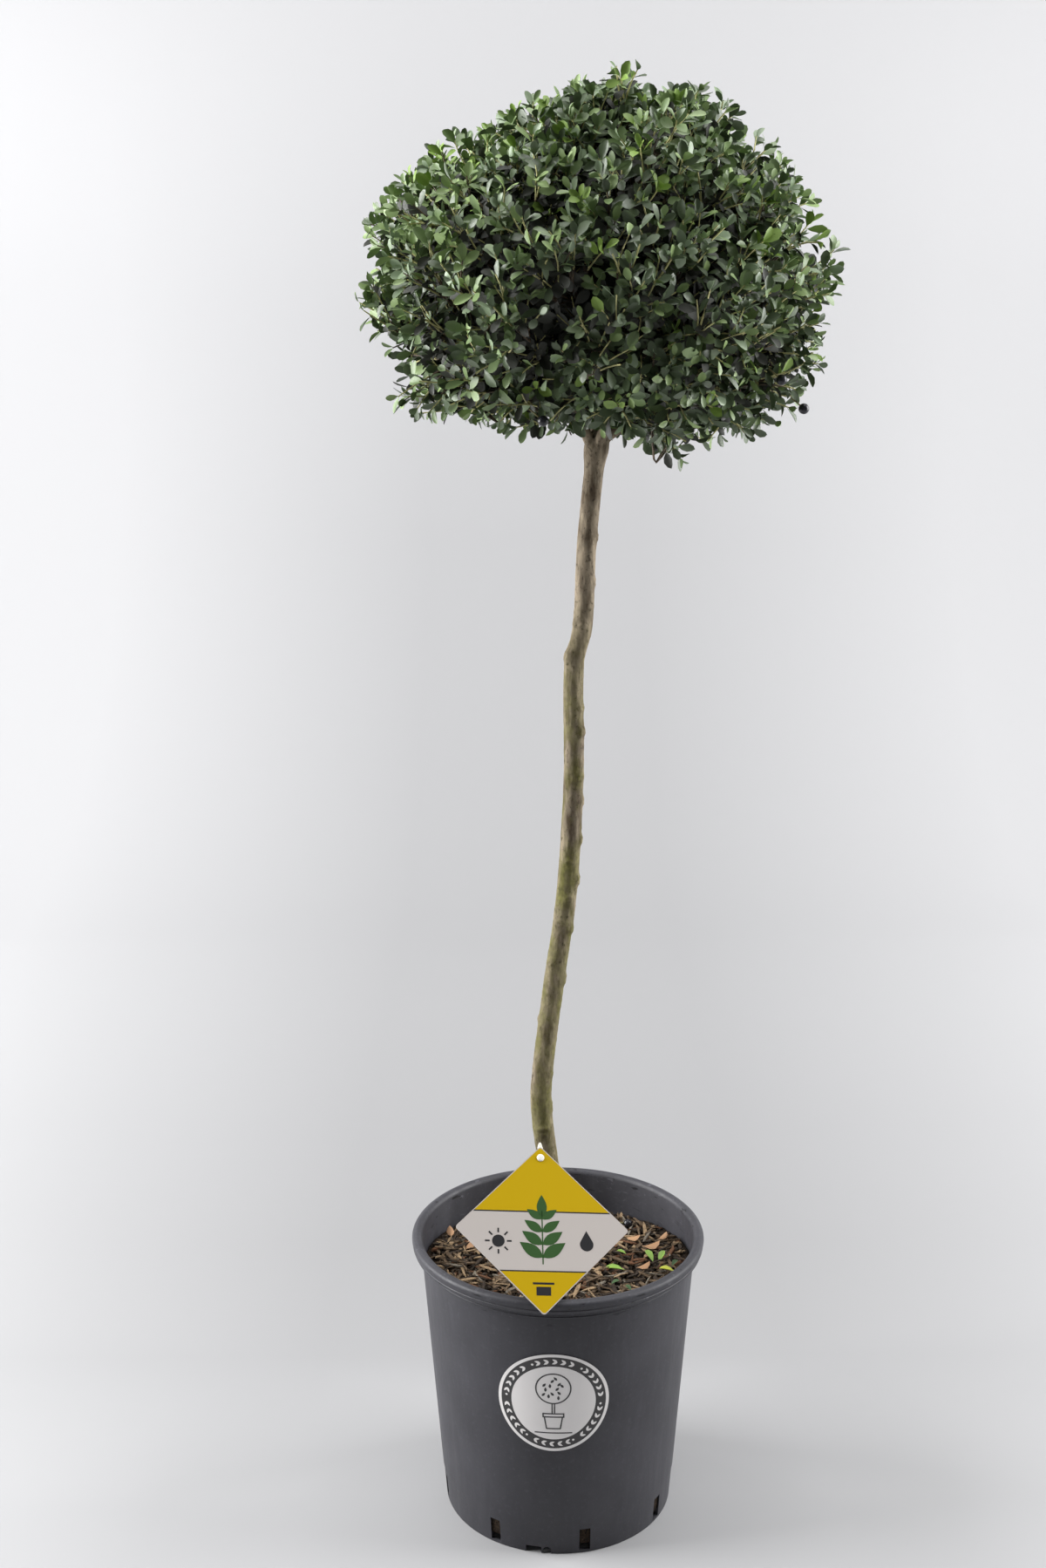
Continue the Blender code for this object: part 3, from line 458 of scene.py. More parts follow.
# Painted light and shade on the paper, as shares of its colour: from the front edge of the view, along the
# floor and up, in the middle and at the sides
PAPER_RUN = (-0.6, 5.6)
PAPER_OUT = (0.30, 1.15)
PAINTED_LIGHT_MIDDLE = (
    (0.04, 0.77), (0.095, 0.805), (0.115, 0.71), (0.14, 0.565), (0.19, 0.525), (0.25, 0.54), (0.33, 0.595),
    (0.42, 0.66), (0.56, 0.672), (0.74, 0.692), (0.86, 0.750), (1.0, 0.92),
)
PAINTED_LIGHT_SIDES = (
    (0.04, 0.85), (0.10, 0.795), (0.15, 0.79), (0.21, 0.76), (0.26, 0.765), (0.33, 0.81), (0.41, 0.87),
    (0.74, 0.877), (0.88, 0.888), (1.0, 0.95),
)


# Small tools -----------------------------------------------------------------


def mesh_object(name, points, faces, materials, faces_material=None, smooth=True):
    """An object from points and faces, with its materials and the material number of each face."""
    mesh = bpy.data.meshes.new(name)
    mesh.from_pydata(points if isinstance(points, list) else points.tolist(), [], faces)
    for material in materials:
        mesh.materials.append(material)
    if faces_material is not None:
        mesh.polygons.foreach_set("material_index", np.asarray(faces_material, np.int32))
    mesh.polygons.foreach_set("use_smooth", [smooth] * len(mesh.polygons))
    mesh.update()
    obj = bpy.data.objects.new(name, mesh)
    bpy.context.scene.collection.objects.link(obj)
    return obj


def soften(obj, angle):
    """Smooth shading with sharp edges over an angle in degrees."""
    obj.data.shade_smooth()
    obj.data.set_sharp_from_angle(angle=math.radians(angle))


def outward(obj):
    """Makes the normals of a closed mesh point out."""
    body = bmesh.new()
    body.from_mesh(obj.data)
    bmesh.ops.recalc_face_normals(body, faces=body.faces)
    body.to_mesh(obj.data)
    body.free()


def applied(obj):
    """Turns the object's modifiers into its mesh."""
    bpy.context.view_layer.update()
    graph = bpy.context.evaluated_depsgraph_get()
    mesh = bpy.data.meshes.new_from_object(obj.evaluated_get(graph))
    obj.modifiers.clear()
    obj.data = mesh


def cut(obj, outlines):
    """Cuts closed bodies out of an object. Each is given as the rings of its skin."""
    cutters = bpy.data.collections.new("cutters")
    bpy.context.scene.collection.children.link(cutters)
    made = []
    for rings in outlines:
        cutter = mesh_object("cutter", *skinned(rings), [])
        outward(cutter)
        bpy.context.scene.collection.objects.unlink(cutter)
        cutters.objects.link(cutter)
        made.append(cutter)
    boolean = obj.modifiers.new("cut", "BOOLEAN")
    boolean.operation = "DIFFERENCE"
    boolean.operand_type = "COLLECTION"
    boolean.collection = cutters
    boolean.solver = "EXACT"
    applied(obj)
    for cutter in made:
        bpy.data.objects.remove(cutter)
    bpy.data.collections.remove(cutters)


def seat(obj, slot, *nodes):
    """Puts a finished piece on the part, in place of these nodes. Its slot is not used."""
    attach(obj, "root")
    if nodes:
        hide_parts(*nodes)


def unit(vectors):
    """Rows of vectors, each made one long."""
    return vectors / np.maximum(np.linalg.norm(vectors, axis=-1, keepdims=True), 1e-9)


def skinned(rings, start=0):
    """Points and faces through closed rings of equal length, its ends capped flat."""
    count = len(rings[0])
    points = [tuple(point) for ring in rings for point in ring]
    faces = [tuple(start + i for i in reversed(range(count)))]
    for low in range(start, start + (len(rings) - 1) * count, count):
        for i in range(count):
            j = (i + 1) % count
            faces.append((low + i, low + j, low + count + j, low + count + i))
    last = start + (len(rings) - 1) * count
    faces.append(tuple(range(last, last + count)))
    return points, faces


def turned(profile, segments):
    """Points and faces of a profile of (radius, height) turned about Z. Both its ends lie on the axis."""
    points = [(0.0, 0.0, profile[0][1])]
    for radius, height in profile[1:-1]:
        for i in range(segments):
            angle = math.tau * i / segments
            points.append((radius * math.cos(angle), radius * math.sin(angle), height))
    points.append((0.0, 0.0, profile[-1][1]))
    last = len(points) - 1
    top_ring = last - segments
    faces = []
    for i in range(segments):
        j = (i + 1) % segments
        faces.append((0, 1 + j, 1 + i))
        for low in range(1, top_ring, segments):
            faces.append((low + i, low + j, low + segments + j, low + segments + i))
        faces.append((last, top_ring + i, top_ring + j))
    return points, faces


def arc(radius, height, size, start, end, steps):
    """Profile points on an arc about (radius, height), from one angle to the other in degrees."""
    found = []
    for i in range(steps + 1):
        angle = math.radians(start + (end - start) * i / steps)
        found.append((radius + size * math.cos(angle), height + size * math.sin(angle)))
    return found


def circle(centre, axis, radius, sides):
    """A ring of points about an axis."""
    side = axis.cross(Vector((1.0, 0.0, 0.0)))
    if side.length < 0.1:
        side = axis.cross(Vector((0.0, 1.0, 0.0)))
    side.normalize()
    across = axis.cross(side).normalized()
    ring = []
    for i in range(sides):
        angle = math.tau * i / sides
        ring.append(centre + radius * (math.cos(angle) * side + math.sin(angle) * across))
    return ring


# Finishes --------------------------------------------------------------------


class Finish:
    """A Principled material with the few nodes that its pattern needs."""

    def __init__(self, name, colour, roughness, specular):
        self.material = bpy.data.materials.new(name)
        self.material.use_nodes = True
        self.tree = self.material.node_tree
        self.shader = self.tree.nodes["Principled BSDF"]
        self.shader.inputs["Base Color"].default_value = (*colour, 1.0)
        self.shader.inputs["Roughness"].default_value = roughness
        self.shader.inputs["Specular IOR Level"].default_value = specular
        self.place = self.tree.nodes.new("ShaderNodeTexCoord").outputs["Object"]

    def scaled(self, stretch):
        """Places on the object, stretched along its axes."""
        node = self.tree.nodes.new("ShaderNodeMapping")
        self.tree.links.new(self.place, node.inputs["Vector"])
        node.inputs["Scale"].default_value = stretch
        return node.outputs["Vector"]

    def noise(self, scale, detail, roughness=0.55, stretch=(1, 1, 1), distortion=0.0):
        """A cloudy pattern: scale is its waves in a metre."""
        node = self.tree.nodes.new("ShaderNodeTexNoise")
        self.tree.links.new(self.scaled(stretch), node.inputs["Vector"])
        node.inputs["Scale"].default_value = scale
        node.inputs["Detail"].default_value = detail
        node.inputs["Roughness"].default_value = roughness
        node.inputs["Distortion"].default_value = distortion
        return node.outputs["Fac"]

    def along(self, axis):
        """The place on the object along one of its axes, in metres."""
        node = self.tree.nodes.new("ShaderNodeSeparateXYZ")
        self.tree.links.new(self.place, node.inputs["Vector"])
        return node.outputs[axis]

    def spread(self, value, low, high, to_low=0.0, to_high=1.0):
        """A value's range spread to another, and held at its ends."""
        node = self.tree.nodes.new("ShaderNodeMapRange")
        self.tree.links.new(value, node.inputs["Value"])
        limits = {"From Min": low, "From Max": high, "To Min": to_low, "To Max": to_high}
        for name, number in limits.items():
            node.inputs[name].default_value = number
        return node.outputs["Result"]

    def maths(self, operation, first, second):
        """Two values, or a value and a number, worked together."""
        node = self.tree.nodes.new("ShaderNodeMath")
        node.operation = operation
        for socket, value in zip(node.inputs, (first, second)):
            if isinstance(value, (int, float)):
                socket.default_value = value
            else:
                self.tree.links.new(value, socket)
        return node.outputs["Value"]

    def ramp(self, value, *stops):
        """Colours along a value: each stop is (position, colour)."""
        node = self.tree.nodes.new("ShaderNodeValToRGB")
        self.tree.links.new(value, node.inputs["Fac"])
        elements = node.color_ramp.elements
        while len(elements) < len(stops):
            elements.new(0.5)
        for element, (position, colour) in zip(elements, stops):
            element.position = position
            element.color = (*colour, 1.0)
        return node.outputs["Color"]

    def mix(self, share, first, second):
        """Two colours, or patterns of them, mixed by a share."""
        node = self.tree.nodes.new("ShaderNodeMix")
        node.data_type = "RGBA"
        self.tree.links.new(share, node.inputs["Factor"])
        for name, colour in (("A_Color", first), ("B_Color", second)):
            socket = next(s for s in node.inputs if s.identifier == name)
            if isinstance(colour, tuple):
                socket.default_value = (*colour, 1.0)
            else:
                self.tree.links.new(colour, socket)
        return next(s for s in node.outputs if s.identifier == "Result_Color")

    def set(self, name, value):
        """Gives a pattern to one of the shader's inputs."""
        self.tree.links.new(value, self.shader.inputs[name])

    def bump(self, value, distance, strength):
        """Makes a pattern stand out of the surface by a distance."""
        node = self.tree.nodes.new("ShaderNodeBump")
        node.inputs["Distance"].default_value = distance
        node.inputs["Strength"].default_value = strength
        self.tree.links.new(value, node.inputs["Height"])
        self.set("Normal", node.outputs["Normal"])


def toned(colour, share):
    """A colour made darker or lighter."""
    return tuple(share * channel for channel in colour)


def leaf_finish(name, colour, roughness):
    """A leathery leaf: one plain colour, with a gloss that varies a little and a faint grain."""
    finish = Finish(name, colour, roughness, 0.5)
    grain = finish.noise(420, 3)
    finish.set("Roughness", finish.spread(grain, 0.3, 0.7, roughness - 0.07, roughness + 0.10))
    finish.bump(grain, 0.00025, 0.5)
    return finish.material


def twig_finish(name, colour, dark):
    """Thin bark, in two tones."""
    finish = Finish(name, colour, 0.6, 0.4)
    finish.set("Base Color", finish.ramp(finish.noise(160, 4), (0.35, dark), (0.65, colour)))
    return finish.material


def bark_finish(settings):
    """Grey-beige bark with darker mottling, and green algae on the stem's middle and lower stretches."""
    light, dark, algae = (
        tuple(colour) for colour in (settings.bark_colour, settings.bark_dark, settings.algae_colour)
    )
    finish = Finish("bark", light, 0.85, 0.18)
    streaks = finish.noise(120, 6, 0.62, (1, 1, 0.28))
    mottle = finish.noise(260, 5, 0.6, (1, 1, 0.7), 0.4)
    base = finish.ramp(streaks, (0.34, dark), (0.50, toned(light, 0.6)), (0.66, light))
    flecked = finish.mix(finish.spread(mottle, 0.56, 0.70), base, toned(dark, 0.45))
    patches = finish.noise(34, 5, 0.6, (1, 1, 0.5))
    height = finish.along("Z")
    low_end = finish.spread(height, *ALGAE_FROM, 0.55, 1.0)
    high_end = finish.spread(height, *ALGAE_TO, 1.0, 0.0)
    band = finish.maths("MULTIPLY", low_end, high_end)
    cover = finish.maths("MULTIPLY", finish.spread(patches, 0.36, 0.60), band)
    green = finish.ramp(finish.noise(180, 5), (0.35, toned(algae, 0.55)), (0.65, algae))
    finish.set("Base Color", finish.mix(finish.maths("MULTIPLY", cover, 0.80), flecked, green))
    finish.set("Roughness", finish.spread(streaks, 0.3, 0.7, 0.92, 0.72))
    coarse, fine = finish.maths("MULTIPLY", streaks, 0.6), finish.maths("MULTIPLY", mottle, 0.5)
    finish.bump(finish.maths("ADD", coarse, fine), 0.0012, 0.75)
    return finish.material


def pot_finish(settings):
    """Charcoal moulded plastic with dust, fine upright drag marks and scuffs under the rim."""
    colour = tuple(settings.pot_colour)
    finish = Finish("pot_plastic", colour, 0.5, 0.32)
    dust = finish.noise(9, 6, 0.6)
    drags = finish.noise(60, 5, 0.6, (1, 1, 0.12))
    scuffs = finish.noise(95, 6, 0.7, (1, 1, 2.6), 0.6)
    grain = finish.noise(900, 2)
    body = finish.ramp(dust, (0.30, toned(colour, 0.80)), (0.72, toned(colour, 1.22)))
    specks = finish.spread(finish.noise(210, 6, 0.75), 0.54, 0.72, 0.0, 0.40)
    body = finish.mix(specks, body, toned(colour, 2.0))
    dusty = finish.mix(finish.spread(drags, 0.58, 0.78, 0.0, 0.35), body, toned(colour, 1.9))
    near_rim = finish.spread(finish.along("Z"), POT_HEIGHT - 3 * RIM_BAND, POT_HEIGHT - 0.8 * RIM_BAND)
    marks = finish.maths("MULTIPLY", finish.spread(scuffs, 0.60, 0.72), near_rim)
    scuffed = finish.mix(marks, dusty, toned(colour, 2.6))
    # Thin dark lines on the rim band, fading out down the wall
    dark_rim_lines = finish.spread(finish.noise(46, 3, 0.5, (1, 1, 4.5)), 0.66, 0.70)
    dark_rim_lines = finish.maths("MULTIPLY", dark_rim_lines, near_rim)
    finish.set("Base Color", finish.mix(dark_rim_lines, scuffed, toned(colour, 0.25)))
    finish.set("Roughness", finish.spread(drags, 0.3, 0.7, 0.42, 0.60))
    finish.bump(finish.maths("ADD", grain, finish.maths("MULTIPLY", drags, 1.5)), 0.00012, 0.6)
    return finish.material


def chip_finish(name, colour, dark):
    """A bark chip, with a grain along random lines."""
    finish = Finish(name, colour, 0.88, 0.25)
    grain = finish.noise(240, 6, 0.65, (1, 1, 1), 1.2)
    finish.set("Base Color", finish.ramp(grain, (0.32, dark), (0.62, colour)))
    finish.bump(grain, 0.0010, 0.8)
    return finish.material


def mix_finish():
    """Damp dark mix, in crumbs."""
    finish = Finish("potting_mix", (0.02, 0.014, 0.010), 0.95, 0.2)
    crumbs = finish.noise(300, 7, 0.7)
    dark, light = (0.006, 0.0045, 0.0035), (0.055, 0.036, 0.022)
    finish.set("Base Color", finish.ramp(crumbs, (0.36, dark), (0.64, light)))
    finish.bump(crumbs, 0.003, 1.0)
    return finish.material


def print_finish(name, colour, roughness=0.50, specular=0.10):
    """Ink on plastic film, a little uneven."""
    finish = Finish(name, colour, roughness, specular)
    uneven = finish.spread(finish.noise(70, 4), 0.3, 0.7, roughness - 0.06, roughness + 0.08)
    finish.set("Roughness", uneven)
    return finish.material


def plastic_finish(name, colour):
    """Pale moulded plastic with faint marks."""
    finish = Finish(name, colour, 0.42, 0.45)
    marks = finish.noise(300, 4)
    finish.set("Base Color", finish.ramp(marks, (0.35, toned(colour, 0.86)), (0.6, colour)))
    return finish.material


# The pot ---------------------------------------------------------------------


def wall_radius(height):
    """Outer radius of the pot's wall."""
    return FOOT_RADIUS + (WALL_TOP_RADIUS - FOOT_RADIUS) * height / (POT_HEIGHT - RIM_BAND)


def floor_profile(lift):
    """The stepped floor from the axis to the channel's inner side, raised by lift."""
    step = CHANNEL_INNER_RADIUS
    return [(0.0, lift), (step, lift), (step + CHANNEL_SLOPE, lift + CHANNEL_HEIGHT)]


def pot_profile(settings):
    """The pot's section: foot ring, wall with its fine steps, bead, rim with a rounded top, and inside."""
    band = POT_HEIGHT - RIM_BAND
    ceiling = POT_HEIGHT - RIM_SKIN - RIM_TOP_SKIN
    ring_inside = FOOT_RADIUS - FOOT_RING
    inner = wall_radius(ceiling) - WALL
    floor_top = CHANNEL_HEIGHT + FLOOR
    step, bead, taper = settings.foot_step, settings.bead, settings.rim_taper
    low = band - BEAD_UNDER_RIM
    profile = floor_profile(0.0)
    profile += [(ring_inside - CHANNEL_SLOPE, CHANNEL_HEIGHT), (ring_inside, 0.0)]
    profile += arc(FOOT_RADIUS - FOOT_ROUND - step, FOOT_ROUND, FOOT_ROUND, -90, 0, 3)
    profile.append((wall_radius(STEP_LOW) - step, STEP_LOW))
    profile += [(wall_radius(level), level) for level in (STEP_HIGH, *WALL_LEVELS, low)]
    profile += arc(wall_radius(low + bead) - BEAD_SUNK, low + bead, bead, -60, 60, 4)
    profile += [(wall_radius(ceiling), low + 2.4 * bead), (wall_radius(ceiling), ceiling)]
    profile += [(RIM_RADIUS - RIM_SKIN, ceiling), (RIM_RADIUS - RIM_SKIN, band + LIP_STEP)]
    profile += arc(RIM_RADIUS - taper - LIP_ROUND, band + LIP_ROUND, LIP_ROUND, 210, 350, 5)
    profile += arc(RIM_RADIUS - taper / 2 + LIP_STEP, band + GROOVE_OVER_LIP, GROOVE_ROUND, 250, 110, 6)
    profile += arc(RIM_RADIUS - TOP_ROUND, POT_HEIGHT - TOP_ROUND - LIP_STEP, TOP_ROUND, -12, 90, 9)
    profile[-1] = (profile[-1][0], POT_HEIGHT - TINY_STEP)
    profile.append((inner + INNER_ROUND + LIP_STEP, POT_HEIGHT))
    profile += arc(inner + INNER_ROUND, POT_HEIGHT - INNER_ROUND, INNER_ROUND, 80, 180, 8)
    profile.append((inner - TINY_STEP, ceiling - 2 * RIM_TOP_SKIN))
    profile.append((wall_radius(INNER_LEVEL) - WALL, INNER_LEVEL))
    profile.append((wall_radius(floor_top) - WALL, floor_top))
    profile += reversed(floor_profile(FLOOR))
    return profile


def outline_cutter(turn, outline):
    """An upright outline of (along, height) pushed through the wall's foot, at a turn from the front."""
    away = Vector((math.sin(turn), -math.cos(turn), 0.0))
    along = UP.cross(away)
    middle = away * (FOOT_RADIUS - FOOT_RING)
    rings = []
    for reach in (-1, 1):
        rings.append([middle + along * x + UP * z + away * reach * CUT_DEPTH / 2 for x, z in outline])
    return rings


def rounded_box(width, low, high, corner):
    """The outline of an upright box with rounded corners, as (along, height)."""
    found = []
    for x, z, start in ((1, 0, -90), (1, 1, 0), (-1, 1, 90), (-1, 0, 180)):
        centre_z = (low + corner) if z == 0 else (high - corner)
        for point in arc(x * (width / 2 - corner), centre_z, corner, start, start + 90, 3):
            found.append(point)
    return found


def drainage_outlines():
    """Slots in the foot of the wall, and in each notch a flat part and a rounded arch."""
    cuts = []
    for i in range(SLOTS):
        turn = FIRST_SLOT + math.tau * i / SLOTS
        cuts.append(outline_cutter(turn, rounded_box(SLOT_WIDTH, SLOT_LOW, SLOT_HIGH, SLOT_CORNER)))
    for i in range(NOTCHES):
        turn = FIRST_NOTCH + math.tau * i / NOTCHES
        flat = rounded_box(NOTCH_WIDTH * 0.60, -NOTCH_HEIGHT, NOTCH_HEIGHT * 0.90, NOTCH_CORNER)
        flat = [(x - NOTCH_WIDTH * 0.20, z) for x, z in flat]
        arch = arc(NOTCH_WIDTH * 0.32, NOTCH_ARCH, NOTCH_HEIGHT * 0.50, 0, 180, 12)
        arch += [(arch[-1][0], -NOTCH_HEIGHT), (arch[0][0], -NOTCH_HEIGHT)]
        cuts += [outline_cutter(turn, flat), outline_cutter(turn, arch)]
    return cuts


def make_pot(settings):
    """The pot, turned from its section, with slots and notches cut through its foot."""
    pot = mesh_object("nursery_pot", *turned(pot_profile(settings), POT_SEGMENTS), [pot_finish(settings)])
    outward(pot)
    cut(pot, drainage_outlines())
    soften(pot, 32)
    seat(pot, "pot_plastic", "pot")


# Potting mix and mulch -------------------------------------------------------


def mix_height(right, back):
    """Height of the mix: low at the back, heaped at the sides, level round the trunk."""
    rim = wall_radius(MIX_LEVEL)
    out = math.hypot(right, back) / rim
    height = MIX_LEVEL - MIX_BACK_DROP * max(0.0, back / rim) + MIX_SIDE_RISE * (right / rim) ** 2
    blend = min(1.0, max(0.0, (out - COLLAR_SHARE) / (COLLAR_END - COLLAR_SHARE)))
    return COLLAR_LEVEL + (height - COLLAR_LEVEL) * blend


def make_potting_mix():
    """The mix: a plug that shows through the drainage slots, with a crumbly top."""
    clear = WALL + 2 * GAP
    profile = floor_profile(FLOOR + GAP)
    for level in (profile[2][1], *MIX_FOOT_LEVELS):
        profile.append((wall_radius(level) - clear, level))
    bottom = len(profile) - 1
    profile += [(share, MIX_LEVEL) for share in np.linspace(1.0, 0.04, MIX_RINGS)]
    profile.append((0.0, COLLAR_LEVEL))
    points, faces = turned(profile, MIX_SEGMENTS)
    full = wall_radius(MIX_LEVEL) - clear
    for i in range(1 + bottom * MIX_SEGMENTS, len(points)):
        right, back = points[i][0] * full, points[i][1] * full
        height = mix_height(right, back) - CHIP_BAND
        rough = noise.fractal(Vector((right, back, 0.0)) * MIX_LUMPS, 0.7, 2.2, 4)
        shrink = (wall_radius(height) - clear) / full
        points[i] = (right * shrink, back * shrink, height + MIX_ROUGHNESS * rough)
    mix = mesh_object("potting_mix_top", points, faces, [mix_finish()])
    seat(mix, "potting_mix", "potting_mix")


def chip(chance, length, width, thickness):
    """Points of one bark chip about its middle: a split slab with an uneven outline."""
    outline = []
    for x, y in CHIP_OUTLINE:
        outline.append((x * chance.uniform(0.72, 1.0), y * chance.uniform(0.5, 1.0)))
    curl = chance.uniform(*CHIP_CURL)
    bow = chance.uniform(-CHIP_BOW, CHIP_BOW) * length
    points = []
    for top in (0, 1):
        inset = 1.0 - CHIP_TOP_INSET * top
        for x, y in outline:
            z = (top - 0.5) * thickness + curl * thickness * (x * x * 2 - 1)
            points.append(Vector((x * inset * length / 2, y * inset * width / 2 + bow * x * x, z)))
    return points


def chip_faces(start):
    """Faces of one chip on the points of chip: its underside, its top and its edge."""
    top = start + CHIP_CORNERS
    faces = [tuple(start + i for i in reversed(range(CHIP_CORNERS))), tuple(range(top, top + CHIP_CORNERS))]
    for i in range(CHIP_CORNERS):
        j = (i + 1) % CHIP_CORNERS
        faces.append((start + i, start + j, top + j, top + i))
    return faces


def make_mulch(settings):
    """Bark chips all over the mix: crumbs below, then chips, then long splinters on top."""
    chance = random.Random(SEED + 1)
    tones = []
    for name in CHIP_TONES:
        colour = tuple(getattr(settings, "chip_" + name))
        tones.append(chip_finish("chip_" + name, colour, toned(colour, 0.35)))
    points, faces, dealt = [], [], []
    rim = wall_radius(MIX_LEVEL) - WALL - CHIP_CLEAR_OF_WALL
    trunk = trunk_centre(COLLAR_LEVEL + GAP)
    for share, short, long, slim, broad, low, high, weights in CHIP_KINDS:
        for _ in range(int(settings.chips * share)):
            length = chance.uniform(short, long)
            width = length * chance.uniform(slim, broad)
            thickness = max(CHIP_THINNEST, width * chance.uniform(*CHIP_THICKNESS))
            out = (rim - length * CHIP_FROM_WALL) * math.sqrt(chance.random())
            turn = chance.uniform(0, math.tau)
            right, back = out * math.cos(turn), out * math.sin(turn)
            clear = CHIP_CLEAR_OF_TRUNK + length * CHIP_FROM_TRUNK
            if math.hypot(right - trunk.x, back - trunk.y) < clear:
                continue
            tilt = Matrix.Rotation(chance.uniform(0, math.tau), 3, "Z")
            tilt = tilt @ Matrix.Rotation(math.radians(chance.gauss(0, CHIP_TILT)), 3, "X")
            tilt = tilt @ Matrix.Rotation(math.radians(chance.gauss(0, CHIP_PITCH)), 3, "Y")
            lift = chance.uniform(low, high) - CHIP_BAND
            middle = Vector((right, back, mix_height(right, back) + lift))
            start = len(points)
            points += [tuple(middle + tilt @ point) for point in chip(chance, length, width, thickness)]
            faces += chip_faces(start)
            tone = chance.choices(range(len(CHIP_TONES)), weights)[0]
            dealt += [tone] * (len(faces) - len(dealt))
    mulch = mesh_object("bark_mulch", points, faces, tones, dealt, smooth=False)
    seat(mulch, "potting_mix")


def make_fallen_leaves(leaves):
    """Leaves on the mulch: fallen ones, and small green ones that stand up like seedlings."""
    names, finishes = list(FALLEN_TONES), []
    for name, (colour, roughness, _, _) in FALLEN_TONES.items():
        finishes.append(leaf_finish("fallen_" + name, colour, roughness))
    points, faces, dealt = [], [], []
    for right, back, length, turn, rise, tone in FALLEN_LEAVES:
        _, _, broad, curl = FALLEN_TONES[tone]
        along = bough_direction(turn, rise)
        across = UP.cross(along).normalized()
        upper = along.cross(across).normalized()
        foot = Vector((right, back, mix_height(right, back) + FALLEN_LIFT)) - along * length / 2
        start = len(points)
        width = length * broad / 2
        for x, y, z in leaf_shape(leaves, curl):
            points.append(tuple(foot + along * y * length + across * x * width + upper * z * length))
        faces += [tuple(start + corner for corner in face) for face in leaf_faces()]
        dealt += [names.index(tone)] * len(leaf_faces())
    fallen = mesh_object("fallen_leaves", points, faces, finishes, dealt)
    seat(fallen, "leaves")


# Trunk and boughs ------------------------------------------------------------


def trunk_centre(height):
    """Centre of the trunk at a height: a smooth curve through its bends."""
    bends = TRUNK_BENDS
    span = 0
    while span < len(bends) - 2 and height > bends[span + 1][0]:
        span += 1
    before, start, end, after = (bends[min(max(span + i, 0), len(bends) - 1)] for i in (-1, 0, 1, 2))
    length = end[0] - start[0]
    t = (height - start[0]) / length
    place = []
    for axis in (1, 2):
        leaving = (end[axis] - before[axis]) / (end[0] - before[0]) * length
        arriving = (after[axis] - start[axis]) / (after[0] - start[0]) * length
        value = (2 * t**3 - 3 * t**2 + 1) * start[axis] + (t**3 - 2 * t**2 + t) * leaving
        value += (3 * t**2 - 2 * t**3) * end[axis] + (t**3 - t**2) * arriving
        place.append(value)
    return Vector((place[0], place[1], height))


def trunk_radius(height):
    """Radius of the trunk: wider at its foot and under the fork, and drawn in at its end."""
    foot, top = TRUNK_BENDS[0][0], TRUNK_BENDS[-1][0]
    rise = (height - foot) / (top - foot)
    radius = TRUNK_LOW_RADIUS + (TRUNK_HIGH_RADIUS - TRUNK_LOW_RADIUS) * rise
    radius += FLARE * math.exp(-(height - foot) / FLARE_HEIGHT)
    radius += FORK_SWELL * math.exp(-(((height - FORK_HEIGHT) / FORK_SPREAD) ** 2))
    over_fork = max(0.0, height - FORK_HEIGHT) / (top - FORK_HEIGHT)
    return radius + (TRUNK_END_RADIUS - radius) * over_fork**2


def bough_direction(turn, rise):
    """The direction at a turn from the right towards the back and a rise from level, in degrees."""
    turn, rise = math.radians(turn), math.radians(rise)
    level = Vector((math.cos(turn), math.sin(turn), 0.0)) * math.cos(rise)
    return level + UP * math.sin(rise)


def mass_hearts():
    """The heart of each mass of foliage, by name."""
    hearts = {}
    for name, turn, _, _ in BOUGHS:
        angle = math.radians(turn)
        out = Vector((math.cos(angle), math.sin(angle), 0.0)) * MASS_SPREAD
        hearts[name] = Vector(CROWN_CENTRE) + out + UP * MASS_LEVEL
    hearts["top"] = Vector(CROWN_CENTRE) + Vector((DOME_SHIFT / 2, 0.0, TOP_MASS_LEVEL))
    return hearts


def bent(start, middle, end, t):
    """A point on a curve from start to end that is drawn towards its middle point."""
    return (1 - t) ** 2 * start + 2 * t * (1 - t) * middle + t**2 * end


def bough_rings(name, turn, rise, height, hearts):
    """Rings along one bough and the stem that carries it on to the heart of its mass."""
    direction = bough_direction(turn, rise)
    tip = HOLLOW_CENTRE + direction * (HOLLOW_RADIUS - BOUGH_SAG)
    leader = name == "top"
    start = trunk_centre(TRUNK_BENDS[-1][0] - LEADER_SUNK if leader else height)
    middle = (start + tip) / 2 - (Vector() if leader else UP * BOUGH_SAG)
    base = LEADER_BASE_RADIUS if leader else BOUGH_BASE_RADIUS
    centres, radii = [], []
    for i in range(BOUGH_STEPS + 1):
        t = i / BOUGH_STEPS
        centres.append(bent(start, middle, tip, t))
        swell = BOUGH_SWELL * math.exp(-((t / BOUGH_SWELL_REACH) ** 2))
        radii.append(base * (1 + swell) + (BOUGH_TIP_RADIUS - base) * t)
    bend = tip + direction * STEM_STRAIGHT * 2
    for i in range(1, STEM_STEPS + 1):
        t = i / STEM_STEPS
        centres.append(bent(tip, bend, hearts[name], t))
        radii.append(BOUGH_TIP_RADIUS + (STEM_TIP_RADIUS - BOUGH_TIP_RADIUS) * t)
    rings = []
    for i, centre in enumerate(centres):
        along = (centres[min(i + 1, len(centres) - 1)] - centres[max(i - 1, 0)]).normalized()
        rings.append(circle(centre, along, radii[i], BOUGH_SIDES))
    return rings


